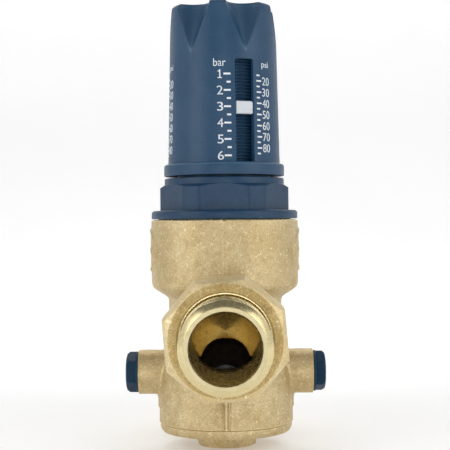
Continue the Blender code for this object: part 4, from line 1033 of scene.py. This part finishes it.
put(paint(make_cap(), cap_plastic), "handle", "cap_plastic", "adjusting_cap")
for number, azimuth in enumerate(WINDOW_AZIMUTHS, 1):
    put(paint(make_scale(number, azimuth), print_white), "handle", "white_plastic")
put(paint(make_indicator(), white_plastic), "indicator", "white_plastic", "indicator_ring")
put(paint(make_bonnet(), bonnet_plastic), "root", "bonnet_plastic", "bonnet")
put(make_body(body_brass, bore_brass_painted_light, painted_shade_brass), "root", "cast_brass", "valve_body")
put(paint(make_bottom_plug(), body_brass), "root", "cast_brass", "bottom_plug")
for side in ("left", "right"):
    put(paint(make_gauge_plug(side), plug_plastic), "root", "plug_plastic", f"gauge_plug_{side}")
for side in ("inlet", "outlet"):
    nut = paint_where(paint(make_union_nut(side), nut_brass), ring_brass,
                      lambda at: np.abs(at[:, 1]) > NUT_OUTER_END - 0.35)
    tail = paint_where(paint(make_tail(side), tail_brass), face_brass,
                       lambda at: np.abs(at[:, 1]) > TAIL_END - 0.08)
    put(nut, f"{side}_nut", "cast_brass", f"union_nut_{side}")
    put(tail, f"{side}_tail", "machined_brass", f"tailpiece_{side}")
put(paint(make_cap_screw(), satin_steel), "handle", "steel", "cap_screw")
spring = paint(make_spring(), satin_steel)
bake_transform(spring)
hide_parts("pressure_spring")
for number in range(DIAPHRAGM_SECTORS):
    sector = paint(make_diaphragm_sector(number), black_rubber)
    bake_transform(sector)
    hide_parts("diaphragm")

# Materials of the CAD nodes that stay, by their slot
INNER = {"machined_brass": stem_brass, "steel": satin_steel, "rubber": black_rubber,
         "gasket_fibre": gasket_fibre}
for part in frame["record"]["subparts"]:
    node = frame["nodes"][part["node"]]
    if part["material_slot"] in INNER and not node.hide_render:
        node.data.materials.clear()
        node.data.materials.append(INNER[part["material_slot"]])


# ---------------- floor, light and camera
def make_floor():
    """Pale floor that curves up into a backdrop."""
    radius, width, front, wall, low = 500.0, 2400.0, -1500.0, 900.0, -0.05
    bend = arc((wall, low + radius), radius, -90, 0, 39)
    path = [(front, low)] + bend + [(wall + radius, 2600.0)]
    rows = [[(-width, y, z), (width, y, z)] for y, z in path]
    points = [point for row in rows for point in row]
    faces = [(2 * i, 2 * i + 1, 2 * i + 3, 2 * i + 2) for i in range(len(rows) - 1)]
    floor = smooth(add_mesh("floor", points, faces), 60)
    m = Nodes("floor_white", roughness=0.6)
    m.colour(m.mix(m.ramp(m.noise(180, 2), 0.3, 0.7), (0.90, 0.90, 0.90), (0.94, 0.94, 0.94)))
    m.shader.inputs["Emission Color"].default_value = (1, 1, 1, 1)
    split = m.node("ShaderNodeSeparateXYZ")
    m.link(m.place, split.inputs["Vector"])
    m.link(m.ramp(split.outputs["Y"], 0.1, 0.8, 0.2, 0.5), m.shader.inputs["Emission Strength"])
    paint(floor, m.material)


def add_light(name, place, target, size, watts):
    """Soft rectangular light, in millimetres, that faces a target."""
    lamp = bpy.data.lights.new(name, "AREA")
    lamp.shape = "RECTANGLE"
    lamp.size, lamp.size_y = size[0] * MM, size[1] * MM
    lamp.energy = watts
    holder = add_object(name, lamp)
    aim_at = (Vector(target) - Vector(place)).to_track_quat("-Z", "Y").to_matrix().to_4x4()
    holder.matrix_world = Matrix.Translation(Vector(place) * MM) @ aim_at


def add_world(strength):
    """Even white light from all round."""
    world = bpy.data.worlds.new("studio")
    world.use_nodes = True
    background = world.node_tree.nodes["Background"]
    background.inputs["Color"].default_value = (1, 1, 1, 1)
    background.inputs["Strength"].default_value = strength
    bpy.context.scene.world = world


def add_camera():
    """Level camera in front of the inlet, a touch off plumb."""
    lens = bpy.data.cameras.new("camera")
    lens.sensor_width, lens.lens, lens.clip_start = 36.0, 94.4, 0.01
    camera = add_object("camera", lens)
    place = Matrix.Translation(Vector((0.17, -489.7, 90.6)) * MM)
    level, roll = Matrix.Rotation(math.radians(90), 4, "X"), Matrix.Rotation(math.radians(-0.5), 4, "Z")
    camera.matrix_world = place @ level @ roll
    bpy.context.scene.camera = camera


make_floor()
MIDDLE = (0, 0, 90)
for side in (-1, 1):
    add_light("key_softbox", (side * 620, -420, 400), MIDDLE, (520, 800), 2.6)
    add_light("side_softbox", (side * 700, 60, 260), MIDDLE, (460, 700), 0.6)
add_light("back_softbox", (0, 520, 820), MIDDLE, (900, 500), 2.0)
add_light("top_softbox", (0, -520, 700), MIDDLE, (900, 400), 0.6)
add_light("front_fill", (0, -1100, 120), MIDDLE, (480, 420), 2.0)
add_world(0.15)
add_camera()
bpy.context.scene.view_settings.view_transform = "Standard"
